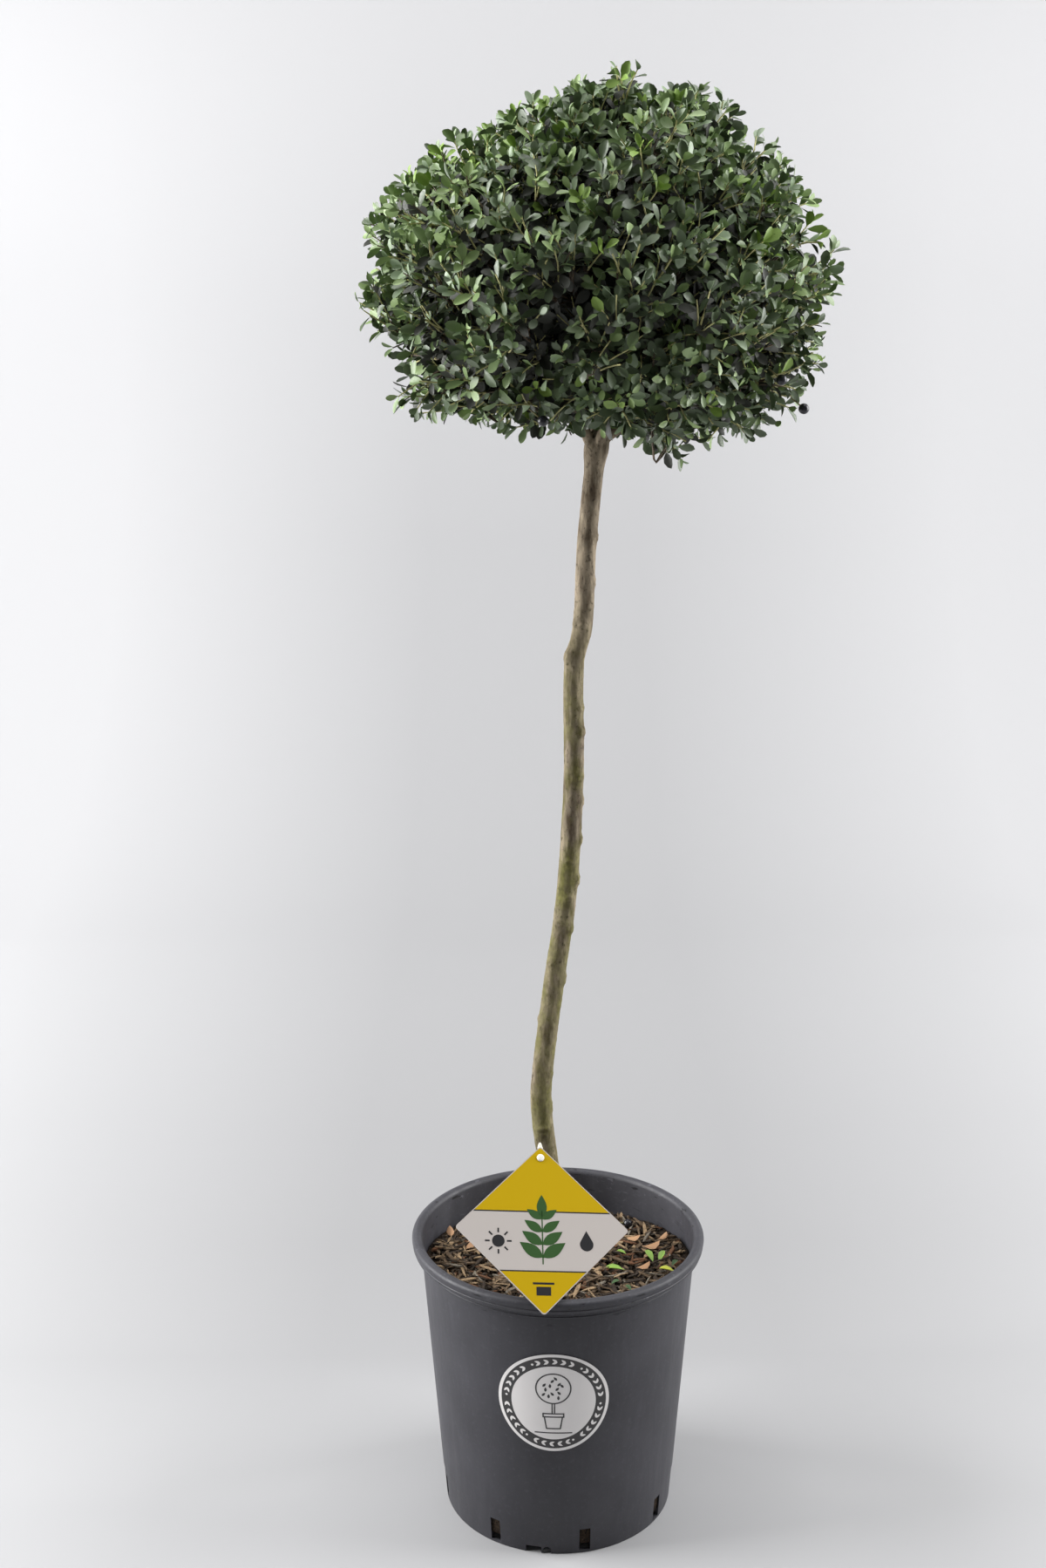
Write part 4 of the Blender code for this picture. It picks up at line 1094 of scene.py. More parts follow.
def scar_lift(height, turn, radius):
    """How far a point of the bark stands out of, or lies in, the knots and scars near it."""
    lift = 0.0
    for at, scar_turn, half_width, half_height in SCARS:
        rise = (height - at) / (half_height * MM)
        if abs(rise) > SCAR_END:
            continue
        round_by = (turn - math.radians(scar_turn) + math.pi) % math.tau - math.pi
        across = round_by * radius / (half_width * MM)
        out = math.hypot(rise, across)
        lift += SCAR_BULGE * half_width * math.exp(-((out / SCAR_BULGE_REACH) ** 2))
        lift -= SCAR_DIP * half_width * math.exp(-((out / SCAR_DIP_REACH) ** 2))
        lift += SCAR_RINGS * math.cos(out * SCAR_WAVES) * math.exp(-((out / SCAR_RINGS_REACH) ** 2))
    return lift


def roughen_bark(obj):
    """Gives the bark its relief: broad swellings, fine ridges along the stem, knots and scars."""
    mesh = obj.data
    normals = [normal.vector.copy() for normal in mesh.vertex_normals]
    for vertex, normal in zip(mesh.vertices, normals):
        place = vertex.co
        broad = noise.noise(Vector((place.x, place.y, place.z * SWELL_UPRIGHT)) * SWELL_WAVES)
        along = Vector((place.x, place.y, place.z * RIDGE_UPRIGHT))
        fine = noise.fractal(along * RIDGE_WAVES, 0.6, 2.1, 3)
        lift = SWELL_HEIGHT * broad + RIDGE_HEIGHT * fine
        if place.z < TRUNK_BENDS[-2][0]:
            centre = trunk_centre(place.z)
            turn = math.atan2(place.x - centre.x, centre.y - place.y)
            lift += scar_lift(place.z, turn, trunk_radius(place.z))
        else:
            lift += GRAIN_HEIGHT * noise.noise(place * GRAIN_WAVES)
        vertex.co = place + normal * lift


def make_trunk_and_boughs(settings):
    """The trunk, the boughs and their stems as one skin of bark with its relief."""
    foot, top = TRUNK_BENDS[0][0], TRUNK_BENDS[-1][0]
    rings = []
    for i in range(TRUNK_RINGS):
        height = foot + (top - foot) * i / (TRUNK_RINGS - 1)
        rings.append(circle(trunk_centre(height), UP, trunk_radius(height), TRUNK_SIDES))
    points, faces = skinned(rings)
    hearts = mass_hearts()
    for bough in BOUGHS:
        more, more_faces = skinned(bough_rings(*bough, hearts), len(points))
        points += more
        faces += more_faces
    bark = mesh_object("trunk_and_boughs", points, faces, [bark_finish(settings)])
    remesh = bark.modifiers.new("one_skin", "REMESH")
    remesh.mode = "VOXEL"
    remesh.voxel_size = BARK_VOXEL
    relax = bark.modifiers.new("relax", "SMOOTH")
    relax.factor = BARK_RELAX
    relax.iterations = BARK_RELAX_STEPS
    applied(bark)
    roughen_bark(bark)
    bark.data.shade_smooth()
    seat(bark, "bark", "trunk", *["bough_" + bough[0] for bough in BOUGHS])


# The crown's shape -----------------------------------------------------------


def crown_level(points):
    """Under 1 inside the crown and 1 on its surface, for rows of points."""
    over = np.clip((points[..., 2] - DOME_SHIFT_FROM) / DOME_SHIFT_OVER, 0.0, 1.0)
    shift = DOME_SHIFT * over * over * (3 - 2 * over)
    right = points[..., 0] - CROWN_CENTRE[0] - shift
    back = points[..., 1] - CROWN_CENTRE[1]
    turn = np.arctan2(back, right)
    radius = np.full_like(turn, CROWN_RADIUS)
    for waves, phase, share in CROWN_LUMPS:
        radius *= 1 + share * np.sin(waves * turn + phase)
    out = np.hypot(right, back) / radius
    height = points[..., 2] - CROWN_CENTRE[2]
    reach = np.where(height > 0, CROWN_RISE, CROWN_DROP)
    power = np.where(height > 0, DOME_POWER, UNDERSIDE_POWER)
    return (out**power + (np.abs(height) / reach) ** power) ** (1 / power)


def crown_surface(directions):
    """Where rays from the crown's centre meet its surface."""
    near = np.zeros(directions.shape[:-1])
    far = np.full(directions.shape[:-1], 2 * CROWN_RADIUS)
    for _ in range(SURFACE_STEPS):
        middle = (near + far) / 2
        inside = crown_level(CROWN_CENTRE + directions * middle[..., None]) < 1
        near, far = np.where(inside, middle, near), np.where(inside, far, middle)
    return CROWN_CENTRE + directions * near[..., None]


def crown_normals(points):
    """About the way that the crown's surface faces at rows of points."""
    offset = points - CROWN_CENTRE
    reach = np.where(offset[..., 2] > 0, CROWN_RISE, CROWN_DROP)
    offset[..., 2] *= (CROWN_RADIUS / reach) ** 2
    return unit(offset)


def shaped_surface(directions):
    """The crown's surface, swollen and drawn in to give its outline from the front."""
    surface = crown_surface(directions)
    turn = np.degrees(np.arctan2(directions[..., 2], directions[..., 0]))
    angles = np.arange(len(FRONT_OUTLINE)) * 360.0 / len(FRONT_OUTLINE)
    swell = np.interp(turn, angles, FRONT_OUTLINE, period=360.0) - 1
    share = 1 + swell * np.hypot(directions[..., 0], directions[..., 2])
    return CROWN_CENTRE + (surface - CROWN_CENTRE) * share[..., None]


def branch_directions():
    """Even directions all over the crown, one for each branch."""
    i = np.arange(BRANCHES)
    height = 1 - 2 * (i + 0.5) / BRANCHES
    out = np.sqrt(1 - height**2)
    return np.stack((out * np.cos(GOLDEN_TURN * i), out * np.sin(GOLDEN_TURN * i), height), axis=1)


# Twigs and leaves ------------------------------------------------------------


def bezier(start, control, end, t):
    """Points and directions on quadratic curves: rows of ends, and a row of shares along each."""
    t = t[..., None]
    start, control, end = start[:, None], control[:, None], end[:, None]
    points = (1 - t) ** 2 * start + 2 * t * (1 - t) * control + t**2 * end
    along = (1 - t) * (control - start) + t * (end - control)
    return points, unit(along)


def side_of(along):
    """A direction square to each of rows of directions."""
    helper = np.where(np.abs(along[..., 2:3]) < 0.9, np.array((0.0, 0.0, 1.0)), np.array((1.0, 0.0, 0.0)))
    return unit(np.cross(along, helper))


def around(axes, turns):
    """Directions square to axes, at turns round them."""
    side = side_of(axes)
    return side * np.cos(turns)[..., None] + np.cross(axes, side) * np.sin(turns)[..., None]


def tubes(points, along, radii, sides, start):
    """Points and faces of open tubes along rows of centre lines, one row for each tube."""
    count, rings = points.shape[:2]
    side = side_of(along)
    across = np.cross(along, side)
    angles = math.tau * np.arange(sides) / sides
    ring = side[:, :, None] * np.cos(angles)[None, None, :, None]
    ring = ring + across[:, :, None] * np.sin(angles)[None, None, :, None]
    skin = points[:, :, None] + ring * radii[:, :, None, None]
    first = start + (np.arange(count) * rings * sides)[:, None, None]
    low = first + (np.arange(rings - 1) * sides)[None, :, None]
    i = np.arange(sides)[None, None, :]
    j = (i + 1) % sides
    faces = np.stack((low + i, low + j, low + sides + j, low + sides + i), axis=-1)
    return skin.reshape(-1, 3), faces.reshape(-1, 4)


def leaf_shape(settings, curl=1.0):
    """Points of one leaf as (half width, length, height) shares: stalk foot, stations of three, tip."""
    points = [(0.0, 0.0, 0.0)]
    for along, wide in LEAF_STATIONS:
        drop = -LEAF_BEND * curl * along**2
        raised = LEAF_FOLD * settings.leaf_width / settings.leaf_length * wide * curl
        points += [(-wide, along, drop + raised), (0.0, along, drop), (wide, along, drop + raised)]
    points.append((0.0, 1.0, -LEAF_BEND * curl))
    return points


def leaf_faces():
    """Faces of one leaf on the points of leaf_shape."""
    last = 3 * len(LEAF_STATIONS) + 1
    faces = [(0, 2, 1), (0, 3, 2)]
    for low in range(1, last - 3, 3):
        faces += [(low, low + 1, low + 4, low + 3), (low + 1, low + 2, low + 5, low + 4)]
    return faces + [(last - 3, last - 2, last), (last - 2, last - 1, last)]


class Growth:
    """Branches and shoots of the whole crown, as arrays with a row for each."""

    def __init__(self, settings):
        self.chance = np.random.default_rng(SEED)
        self.settings = settings
        hearts = mass_hearts()
        self.names = list(hearts)
        hearts = np.array([list(hearts[name]) for name in self.names])
        surface = crown_surface(branch_directions())
        normals = crown_normals(surface)
        gaps = np.linalg.norm(surface[:, None] - hearts[None], axis=2)
        self.mass = gaps.argmin(axis=1)
        self.grow_branches(hearts[self.mass], surface, normals)
        self.grow_shoots(surface, normals)

    def grow_branches(self, hearts, surface, normals):
        """A branch from the heart of its mass towards each of the even directions."""
        depth = BRANCH_DEPTH * self.chance.uniform(*BRANCH_DEPTHS, (len(surface), 1))
        end = surface - normals * depth
        control = (hearts + end) / 2 + self.chance.normal(0, BRANCH_BEND, surface.shape)
        self.branch = (hearts, control, end)

    def grow_shoots(self, surface, normals):
        """Sprays round the end of each branch, each a fork with a few shoots."""
        chance, sprays = self.chance, self.settings.sprays
        k = np.arange(sprays + INNER_SPRAYS)
        inner = k >= sprays
        out = np.where(inner, INNER_OUT, np.sqrt((k + 0.5) / sprays))
        spin = chance.uniform(0, math.tau, (BRANCHES, 1)) + GOLDEN_TURN * k[None]
        offset = around(normals[:, None], spin)
        aim = surface[:, None] + offset * (out * FAN_RADIUS)[None, :, None]
        aim = aim + chance.normal(0, FAN_WANDER, aim.shape)
        crest = shaped_surface(unit(aim - CROWN_CENTRE))
        crest = np.clip(crest, BOX_LOW + TIP_MARGIN, BOX_HIGH - TIP_MARGIN)
        facing = crown_normals(crest)
        crest = crest - facing * self.spray_depths(out, inner)[..., None]
        level = facing.copy()
        level[..., 2] = np.where(facing[..., 2] < 0, facing[..., 2] * UNDERSIDE_DROOP, facing[..., 2])
        level[..., 2] += SHOOT_LIFT * (1 - np.abs(facing[..., 2]))
        axis = level + offset * SHOOT_SPREAD * out[None, :, None]
        axis = unit(axis + chance.normal(0, SHOOT_WANDER, aim.shape))
        fork = crest - axis * SPRAY_LENGTH
        start = SPRAY_START - SPRAY_START_LESS * out[None]
        start = np.clip(start + chance.normal(0, SPRAY_START_JITTER, spin.shape), *SPRAY_START_LIMITS)
        starts, _ = bezier(*self.branch, start)
        control = fork - axis * SPRAY_LENGTH * SPRAY_STRAIGHT
        self.stem = tuple(a.reshape(-1, 3) for a in (starts, control, fork))
        self.fork_shoots(*(a.reshape(-1, 3) for a in (crest, fork, axis, facing)))

    def spray_depths(self, out, inner):
        """How far the sprays end under the crown's surface: some are sunk, some stand proud."""
        chance, shape = self.chance, (BRANCHES, len(out))
        depth = self.settings.tip_depth + FAN_DOME * out[None] ** 2
        depth = depth + chance.normal(0, BRANCH_JITTER, (BRANCHES, 1))
        depth = depth + chance.normal(0, SPRAY_JITTER, shape)
        fate = chance.random(shape)
        depth = depth + np.where(fate < SUNK_SHARE, SUNK_BY, 0)
        depth = depth - np.where(fate > 1 - PROUD_SHARE, PROUD_BY, 0)
        self.sunk = (fate < SUNK_SHARE) & ~inner[None]
        return np.where(inner[None], INNER_BY + self.settings.tip_depth, depth)

    def fork_shoots(self, crest, fork, axis, facing):
        """A few shoots from the fork of each spray, spread a little round its axis."""
        chance, shoots = self.chance, self.settings.shoots
        sprays = len(crest)
        spin = chance.uniform(0, math.tau, (sprays, 1)) + math.tau / shoots * np.arange(shoots)[None]
        spin = spin + chance.normal(0, SHOOT_TURN_JITTER, spin.shape)
        offset = around(axis[:, None], spin)
        reach = SPRAY_RADIUS * chance.uniform(*SPRAY_REACH, spin.shape)[..., None]
        back = np.abs(chance.normal(0, SHOOT_JITTER, spin.shape))[..., None]
        tips = crest[:, None] + offset * reach - axis[:, None] * back
        tips = np.clip(tips, BOX_LOW + TIP_MARGIN, BOX_HIGH - TIP_MARGIN)
        ends = axis[:, None] + offset * SHOOT_SPREAD
        ends = unit(ends + chance.normal(0, SHOOT_WANDER, tips.shape))
        starts = np.repeat(fork[:, None], shoots, axis=1)
        self.shoot = tuple(a.reshape(-1, 3) for a in (starts, tips - ends * SHOOT_STRAIGHT, tips))
        self.shoot_mass = np.repeat(self.mass, sprays // BRANCHES * shoots)
        inner = np.arange(sprays // BRANCHES) >= self.settings.sprays
        self.inner = np.repeat(np.tile(inner, BRANCHES), shoots)
        self.sunk = np.repeat(self.sunk.reshape(-1), shoots)
        self.facing = np.repeat(facing, shoots, axis=0)

    def leaf_rows(self):
        """Foot, direction, upper side and length of the leaves: a row for each shoot, from its tip down."""
        chance, settings = self.chance, self.settings
        count, leaves = len(self.shoot[0]), settings.leaves_on_shoot
        i = np.arange(leaves)[None]
        from_tip = LEAF_FIRST + ROSETTE_STEP * i
        from_tip = from_tip + (LEAF_STEP - ROSETTE_STEP) * np.clip(i - ROSETTE, 0, None)
        from_tip = from_tip + chance.normal(0, LEAF_STEP_JITTER, (count, leaves))
        t = np.clip(1 - from_tip / (2 * SHOOT_STRAIGHT), LEAF_LOWEST, 1.0)
        feet, axis = bezier(*self.shoot, t)
        turn = chance.uniform(0, math.tau, (count, 1)) + LEAF_TURN * i
        turn = turn + chance.normal(0, LEAF_TURN_JITTER, turn.shape)
        away = around(axis, turn)
        age = np.clip(i / LEAF_OLD_FROM, 0, 1)
        angle = LEAF_ANGLE_TIP + (LEAF_ANGLE_OLD - LEAF_ANGLE_TIP) * age
        angle = (angle + chance.normal(0, LEAF_ANGLE_JITTER, turn.shape))[..., None]
        along = axis * np.cos(angle) + away * np.sin(angle)
        upper = axis * np.sin(angle) - away * np.cos(angle)
        light = np.array((0.0, 0.0, LIGHT_ABOVE)) + self.facing[:, None] * LIGHT_OUTSIDE
        upper = upper + light * LEAF_LIGHT_TURN * chance.uniform(*LEAF_LIGHT_TURNS, turn.shape)[..., None]
        upper = unit(upper - along * (upper * along).sum(axis=-1, keepdims=True))
        roll = chance.normal(0, LEAF_ROLL, turn.shape)[..., None]
        upper = upper * np.cos(roll) + np.cross(along, upper) * np.sin(roll)
        small = np.clip(TIP_LEAF + TIP_LEAF_GAIN * i, 0, 1)
        vary = np.clip(chance.normal(1.0, LENGTH_JITTER, turn.shape), *LENGTH_LIMITS)
        return feet, along, upper, settings.leaf_length * small * vary

    def kept(self, feet, along, length):
        """Which leaves stay clear of the trunk and the fork, and inside the part's box."""
        tips = feet + along * length[..., None]
        inside = ((tips > BOX_LOW + BOX_MARGIN) & (tips < BOX_HIGH - BOX_MARGIN)).all(axis=-1)
        centre = np.array(trunk_centre(TRUNK_BENDS[-2][0]))
        near = np.hypot(tips[..., 0] - centre[0], tips[..., 1] - centre[1])
        off_trunk = (near > LEAF_CLEAR_OF_TRUNK) | (tips[..., 2] > centre[2] + CLEAR_OVER_TRUNK)
        off_fork = np.linalg.norm(tips - np.array(HOLLOW_CENTRE), axis=-1) > FORK_CLEARANCE
        return inside & off_trunk & off_fork

    def grown(self, shape):
        """Which leaves there are: fewer of them on the underside and at the left and right."""
        airy = THINNED * (0.5 * np.abs(self.facing[:, 0]) + np.clip(-self.facing[:, 2], 0, 1))
        return self.chance.random(shape) > airy[:, None]

    def leaf_tones(self, shape):
        """The number of each leaf's green: dealt by shoot, with painted light and shade by its facing, then
        strays, young tips and leaves in painted shade.
        """
        chance, (count, leaves) = self.chance, shape
        right, up = self.facing[:, 0], self.facing[:, 2]
        side = np.clip(right, -SIDEWAYS_TO, SIDEWAYS_TO)
        # Painted light and shade: shoots that face up, left and out to the sides draw lighter greens, and
        # those that face down, to the front or back, or right draw darker ones
        painted_light = PAINTED_LIGHT_UP * up + PAINTED_SHADE_DOWN * np.clip(up, -1, 0)
        painted_light += PAINTED_LIGHT_SIDEWAYS * (np.abs(side) - SIDEWAYS_FROM) - PAINTED_LIGHT_LEFT * side
        of_shoot = np.searchsorted(TONE_LIMITS, np.clip(chance.random(count) + painted_light, 0, 1))
        tone = np.repeat(of_shoot[:, None], leaves, axis=1)
        stray = chance.random(shape) < STRAY_SHARE
        tone = np.where(stray, chance.choice(len(STRAY_TONES), shape, p=STRAY_TONES), tone)
        order = np.arange(leaves)[None]
        sprouts = SPROUT_LOW + SPROUT_HIGH * np.clip(up[:, None], 0, 1)
        sprouting = chance.random((count, 1)) < self.settings.sprouting * sprouts
        tone = np.where(sprouting & (order < SPROUT_LEAVES), YOUNG, tone)
        dark_tip = ~sprouting & (order < LIGHT_TIP_LEAVES) & (tone == DARK)
        tone = np.where(dark_tip & (chance.random(shape) < LIGHT_TIP_SHARE), LIGHT, tone)
        # Painted shade: the shaded green goes to the inner leaves, to most sunk shoots and to a shoot's
        # lowest leaves, here called old
        painted_shade_chance = np.clip(1.0 - SUNK_LIT_SIDEWAYS * np.abs(right) - SUNK_LIT_UP * up, *SUNK_SHADED)
        sunk = self.sunk & (chance.random(count) < painted_shade_chance)
        old = chance.random(shape) < SHADED_SHARE * (order - SHADED_FROM) / leaves
        return np.where((self.inner | sunk)[:, None] | old, SHADED, tone)


def make_twigs(growth, settings):
    """Branches, stems of sprays and shoots, brown where they are old and green towards the tips."""
    old = twig_finish("old_twig", OLD_TWIG, OLD_TWIG_DARK)
    young = twig_finish("young_twig", tuple(settings.twig_colour), toned(settings.twig_colour, 0.6))
    # Curves, rings, sides, radii at the start and the tip, first step that can be green
    kinds = (
        (growth.branch, 8, 6, BRANCH_RADIUS, BRANCH_TIP_RADIUS, 8),
        (growth.stem, 5, 3, SPRAY_STEM_RADIUS, SHOOT_RADIUS, 5),
        (growth.shoot, 6, 3, SHOOT_RADIUS, SHOOT_TIP_RADIUS, 2),
    )
    skins, sheets, dealt, start = [], [], [], 0
    for curves, rings, sides, thick, thin, green_from in kinds:
        count = len(curves[0])
        t = np.broadcast_to(np.linspace(0, 1, rings), (count, rings))
        points, along = bezier(*curves, t)
        skin, faces = tubes(points, along, thick + (thin - thick) * t, sides, start)
        start += len(skin)
        skins.append(skin)
        sheets.append(faces)
        ring = np.tile(np.repeat(np.arange(rings - 1), sides), count)
        fresh = np.repeat(growth.chance.random(count) < YOUNG_TWIG_SHARE, (rings - 1) * sides)
        dealt.append(((ring >= green_from) & fresh).astype(int))
    skins, sheets, dealt = (np.concatenate(a) for a in (skins, sheets, dealt))
    twigs = mesh_object("twigs", skins, sheets.tolist(), [old, young], dealt)
    seat(twigs, "bark")


def leaf_colours(settings):
    """The finishes of the greens that are dealt out."""
    return [leaf_finish(name, tuple(getattr(settings, name)), roughness) for name, roughness in LEAF_TONES]


def make_leaves(growth, settings):
    """The leaves of each mass as one piece."""
    chance = growth.chance
    feet, along, upper, length = growth.leaf_rows()
    keep = growth.kept(feet, along, length) & growth.grown(length.shape)
    tone = growth.leaf_tones(length.shape)
    shape = np.array(leaf_shape(settings))
    template = leaf_faces()
    finishes = leaf_colours(settings)
    width = settings.leaf_width / settings.leaf_length / 2
    for number, name in enumerate(growth.names):
        chosen = keep & (growth.shoot_mass == number)[:, None]
        foot, forward, up, size = feet[chosen], along[chosen], upper[chosen], length[chosen]
        across = np.cross(forward, up)
        bend = chance.uniform(*LEAF_BENDS, len(size))
        fold = chance.uniform(*LEAF_FOLDS, len(size))
        wide = width * chance.uniform(*LEAF_WIDTHS, len(size))
        lift = -LEAF_BEND * bend[:, None] * shape[None, :, 1] ** 2
        lift = lift + LEAF_FOLD * fold[:, None] * wide[:, None] * np.abs(shape[None, :, 0])
        points = foot[:, None] + size[:, None, None] * (
            forward[:, None] * shape[None, :, 1:2]
            + across[:, None] * (shape[None, :, 0] * wide[:, None])[..., None]
            + up[:, None] * lift[..., None]
        )
        faces = []
        for start in range(0, len(size) * len(shape), len(shape)):
            faces += [tuple(start + corner for corner in face) for face in template]
        dealt = np.repeat(tone[chosen], len(template))
        leaf_piece = mesh_object("leaves_" + name, points.reshape(-1, 3), faces, finishes, dealt)
        seat(leaf_piece, "leaves", "foliage_" + name)


def berry(centre, hang, start):
    """Points and faces of one berry with its curved stalk, hung along a direction."""
    profile = [(0.0, -1.0), *arc(0.0, 0.0, 1.0, -72, 72, 8), *BERRY_DIMPLE]
    points, faces = turned([(r * BERRY_RADIUS, z * BERRY_RADIUS) for r, z in profile], BERRY_SIDES)
    turn = hang.to_track_quat("Z", "Y").to_matrix()
    points = [tuple(centre + turn @ Vector(point)) for point in points]
    foot = centre - hang * BERRY_RADIUS * 0.9
    bend = foot - hang * BERRY_STALK * 0.5
    top = bend - (hang + STALK_BEND).normalized() * BERRY_STALK * 0.6
    rings = []
    for place, radius in zip((foot, bend, top), STALK_RADII):
        rings.append(circle(place, hang, radius, STALK_SIDES))
    stalk, stalk_faces = skinned(rings, len(points))
    dealt = [0] * len(faces) + [1] * len(stalk_faces)
    faces = faces + stalk_faces
    return points + stalk, [tuple(start + corner for corner in face) for face in faces], dealt


def make_berries(growth):
    """Black berries: a few that hang clear, some more among the leaves, and one on the mulch."""
    chance = random.Random(SEED + 3)
    black = Finish("berry", (0.010, 0.010, 0.014), 0.30, 0.5)
    bloom = black.noise(500, 4)
    dark, light = (0.006, 0.006, 0.009), (0.030, 0.030, 0.040)
    black.set("Base Color", black.ramp(bloom, (0.4, dark), (0.7, light)))
    stalk = twig_finish("berry_stalk", (0.26, 0.24, 0.09), (0.12, 0.10, 0.04))
    hung = [(Vector(place), SHOWN_HANG) for place in SHOWN_BERRIES]
    tips = growth.shoot[2]
    behind = (tips[:, 2] < CROWN_CENTRE[2]) & (tips[:, 1] > HIDDEN_BEHIND)
    for i in chance.sample(np.flatnonzero(behind).tolist(), HIDDEN_BERRIES):
        hung.append((Vector(tips[i]) + Vector(growth.facing[i]) * HIDDEN_OUT, HIDDEN_HANG))
    right, back = SOIL_BERRY
    hung.append((Vector((right, back, mix_height(right, back) + SOIL_BERRY_LIFT)), SOIL_BERRY_LIES))
    points, faces, dealt = [], [], []
    for centre, hang in hung:
        more, more_faces, more_dealt = berry(centre, hang, len(points))
        points += more
        faces += more_faces
        dealt += more_dealt
    berries = mesh_object("berries", points, faces, [black.material, stalk], dealt)
    seat(berries, "leaves")


# Print: flat shapes in millimetres, as outlines of (right, up) ----------------


def disc(x, y, radius, steps=40):
    """A filled circle as one outline."""
    turns = [math.tau * i / steps for i in range(steps)]
    return [(x + radius * math.cos(turn), y + radius * math.sin(turn)) for turn in turns]


def hoops(x, y, inner, outer, steps=48):
    """A ring as four-sided pieces."""
    pieces = []
    for i in range(steps):
        a, b = math.radians(360.0 * i / steps), math.radians(360.0 * (i + 1) / steps)
        corners = ((inner, a), (outer, a), (outer, b), (inner, b))
        pieces.append([(x + r * math.cos(t), y + r * math.sin(t)) for r, t in corners])
    return pieces


def leaf_outline(x, y, length, width, turn):
    """A pointed leaf from its foot at (x, y), at a turn in degrees."""
    side = []
    for i in range(LEAF_PRINT_STEPS + 1):
        t = i / LEAF_PRINT_STEPS
        side.append((length * t, width / 2 * math.sin(math.pi * t**0.85)))
    outline = side + [(u, -v) for u, v in reversed(side[1:-1])]
    c, s = math.cos(math.radians(turn)), math.sin(math.radians(turn))
    return [(x + u * c - v * s, y + u * s + v * c) for u, v in outline]


def bar(x, y, length, width, turn=0.0):
    """An oblong about (x, y), at a turn in degrees."""
    c, s = math.cos(math.radians(turn)), math.sin(math.radians(turn))
    corners = ((-length, -width), (length, -width), (length, width), (-length, width))
    return [(x + (u * c - v * s) / 2, y + (u * s + v * c) / 2) for u, v in corners]


def drop_outline(x, y, radius):
    """A drop of water: a circle below, drawn up to a point."""
    outline = []
    for i in range(DROP_STEPS + 1):
        angle = math.radians(-210 + 240 * i / DROP_STEPS)
        outline.append((x + radius * math.cos(angle), y + radius * math.sin(angle)))
    return outline + [(x, y + 2.1 * radius)]


def sprig_shapes(x, y, height):
    """A stem with pairs of leaves and one at its top."""
    shapes = [bar(x, y + height * 0.40, 1.3, height * 0.80)]
    for i in range(4):
        at = y + height * (0.10 + 0.19 * i)
        size = height * (0.40 - 0.045 * i)
        shapes += [leaf_outline(x, at, size, size * 0.44, 34), leaf_outline(x, at, size, size * 0.44, 146)]
    shapes.append(leaf_outline(x, y + height * 0.70, height * 0.34, height * 0.15, 90))
    return shapes


def sun_shapes(x, y, radius):
    """A disc with eight rays."""
    shapes = [disc(x, y, radius)]
    for i in range(8):
        angle = math.tau * i / 8
        right, up = x + 1.75 * radius * math.cos(angle), y + 1.75 * radius * math.sin(angle)
        shapes.append(bar(right, up, 0.75 * radius, 0.26 * radius, 45 * i))
    return shapes


def make_print(name, layers, place, strip=None):
    """Flat shapes, layer on layer, set on the part by a function of (right, up, layer).

    With a strip width, the shapes are cut into upright strips, for them to follow a round wall.
    """
    points, faces, dealt, finishes = [], [], [], []
    for level, (finish, shapes) in enumerate(layers):
        finishes.append(finish)
        for shape in shapes:
            body = bmesh.new()
            body.faces.new([body.verts.new((x * MM, y * MM, 0.0)) for x, y in shape])
            if strip:
                reach = max(abs(x) for x, _ in shape) * MM
                cuts = int(reach / strip) + 1
                for k in range(-cuts, cuts + 1):
                    parts = body.verts[:] + body.edges[:] + body.faces[:]
                    line = (k * strip, 0, 0)
                    bmesh.ops.bisect_plane(body, geom=parts, plane_co=line, plane_no=(1, 0, 0))
            body.verts.index_update()
            start = len(points)
            points += [tuple(place(vertex.co.x, vertex.co.y, level)) for vertex in body.verts]
            for face in body.faces:
                faces.append(tuple(start + vertex.index for vertex in face.verts))
                dealt.append(level)
            body.free()
    return mesh_object(name, points, faces, finishes, dealt)


# The label -------------------------------------------------------------------


def card_frame():
    """The card's right, upward and facing directions."""
    swing = Matrix.Rotation(CARD_YAW, 3, "Z") @ Matrix.Rotation(-CARD_LEAN, 3, "X")
    right = swing @ Vector((1.0, 0.0, 0.0))
    up = swing @ UP
    right, up = (
        right * math.cos(CARD_ROLL) + up * math.sin(CARD_ROLL),
        up * math.cos(CARD_ROLL) - right * math.sin(CARD_ROLL),
    )
    return right, up, right.cross(up)


def card_outline(half, corner):
    """The card's outline as (right, up): a square that stands on a corner, with its corners rounded."""
    outline = []
    inset = half - corner * math.sqrt(2)
    for quarter in range(4):
        at = math.radians(90 * quarter)
        for step in range(7):
            angle = at + math.radians(-45 + 15 * step)
            across = inset * math.cos(at) + corner * math.cos(angle)
            outline.append((across, inset * math.sin(at) + corner * math.sin(angle)))
    return outline


def clipped(outline, low, high):
    """The part of a convex outline between two heights."""
    for sign, limit in ((1, low), (-1, high)):
        kept = []
        for i, (x, y) in enumerate(outline):
            px, py = outline[i - 1]
            inside, was_inside = sign * (y - limit) >= 0, sign * (py - limit) >= 0
            if inside != was_inside:
                t = (limit - py) / (y - py)
                kept.append((px + (x - px) * t, limit))
            if inside:
                kept.append((x, y))
        outline = kept
    return outline


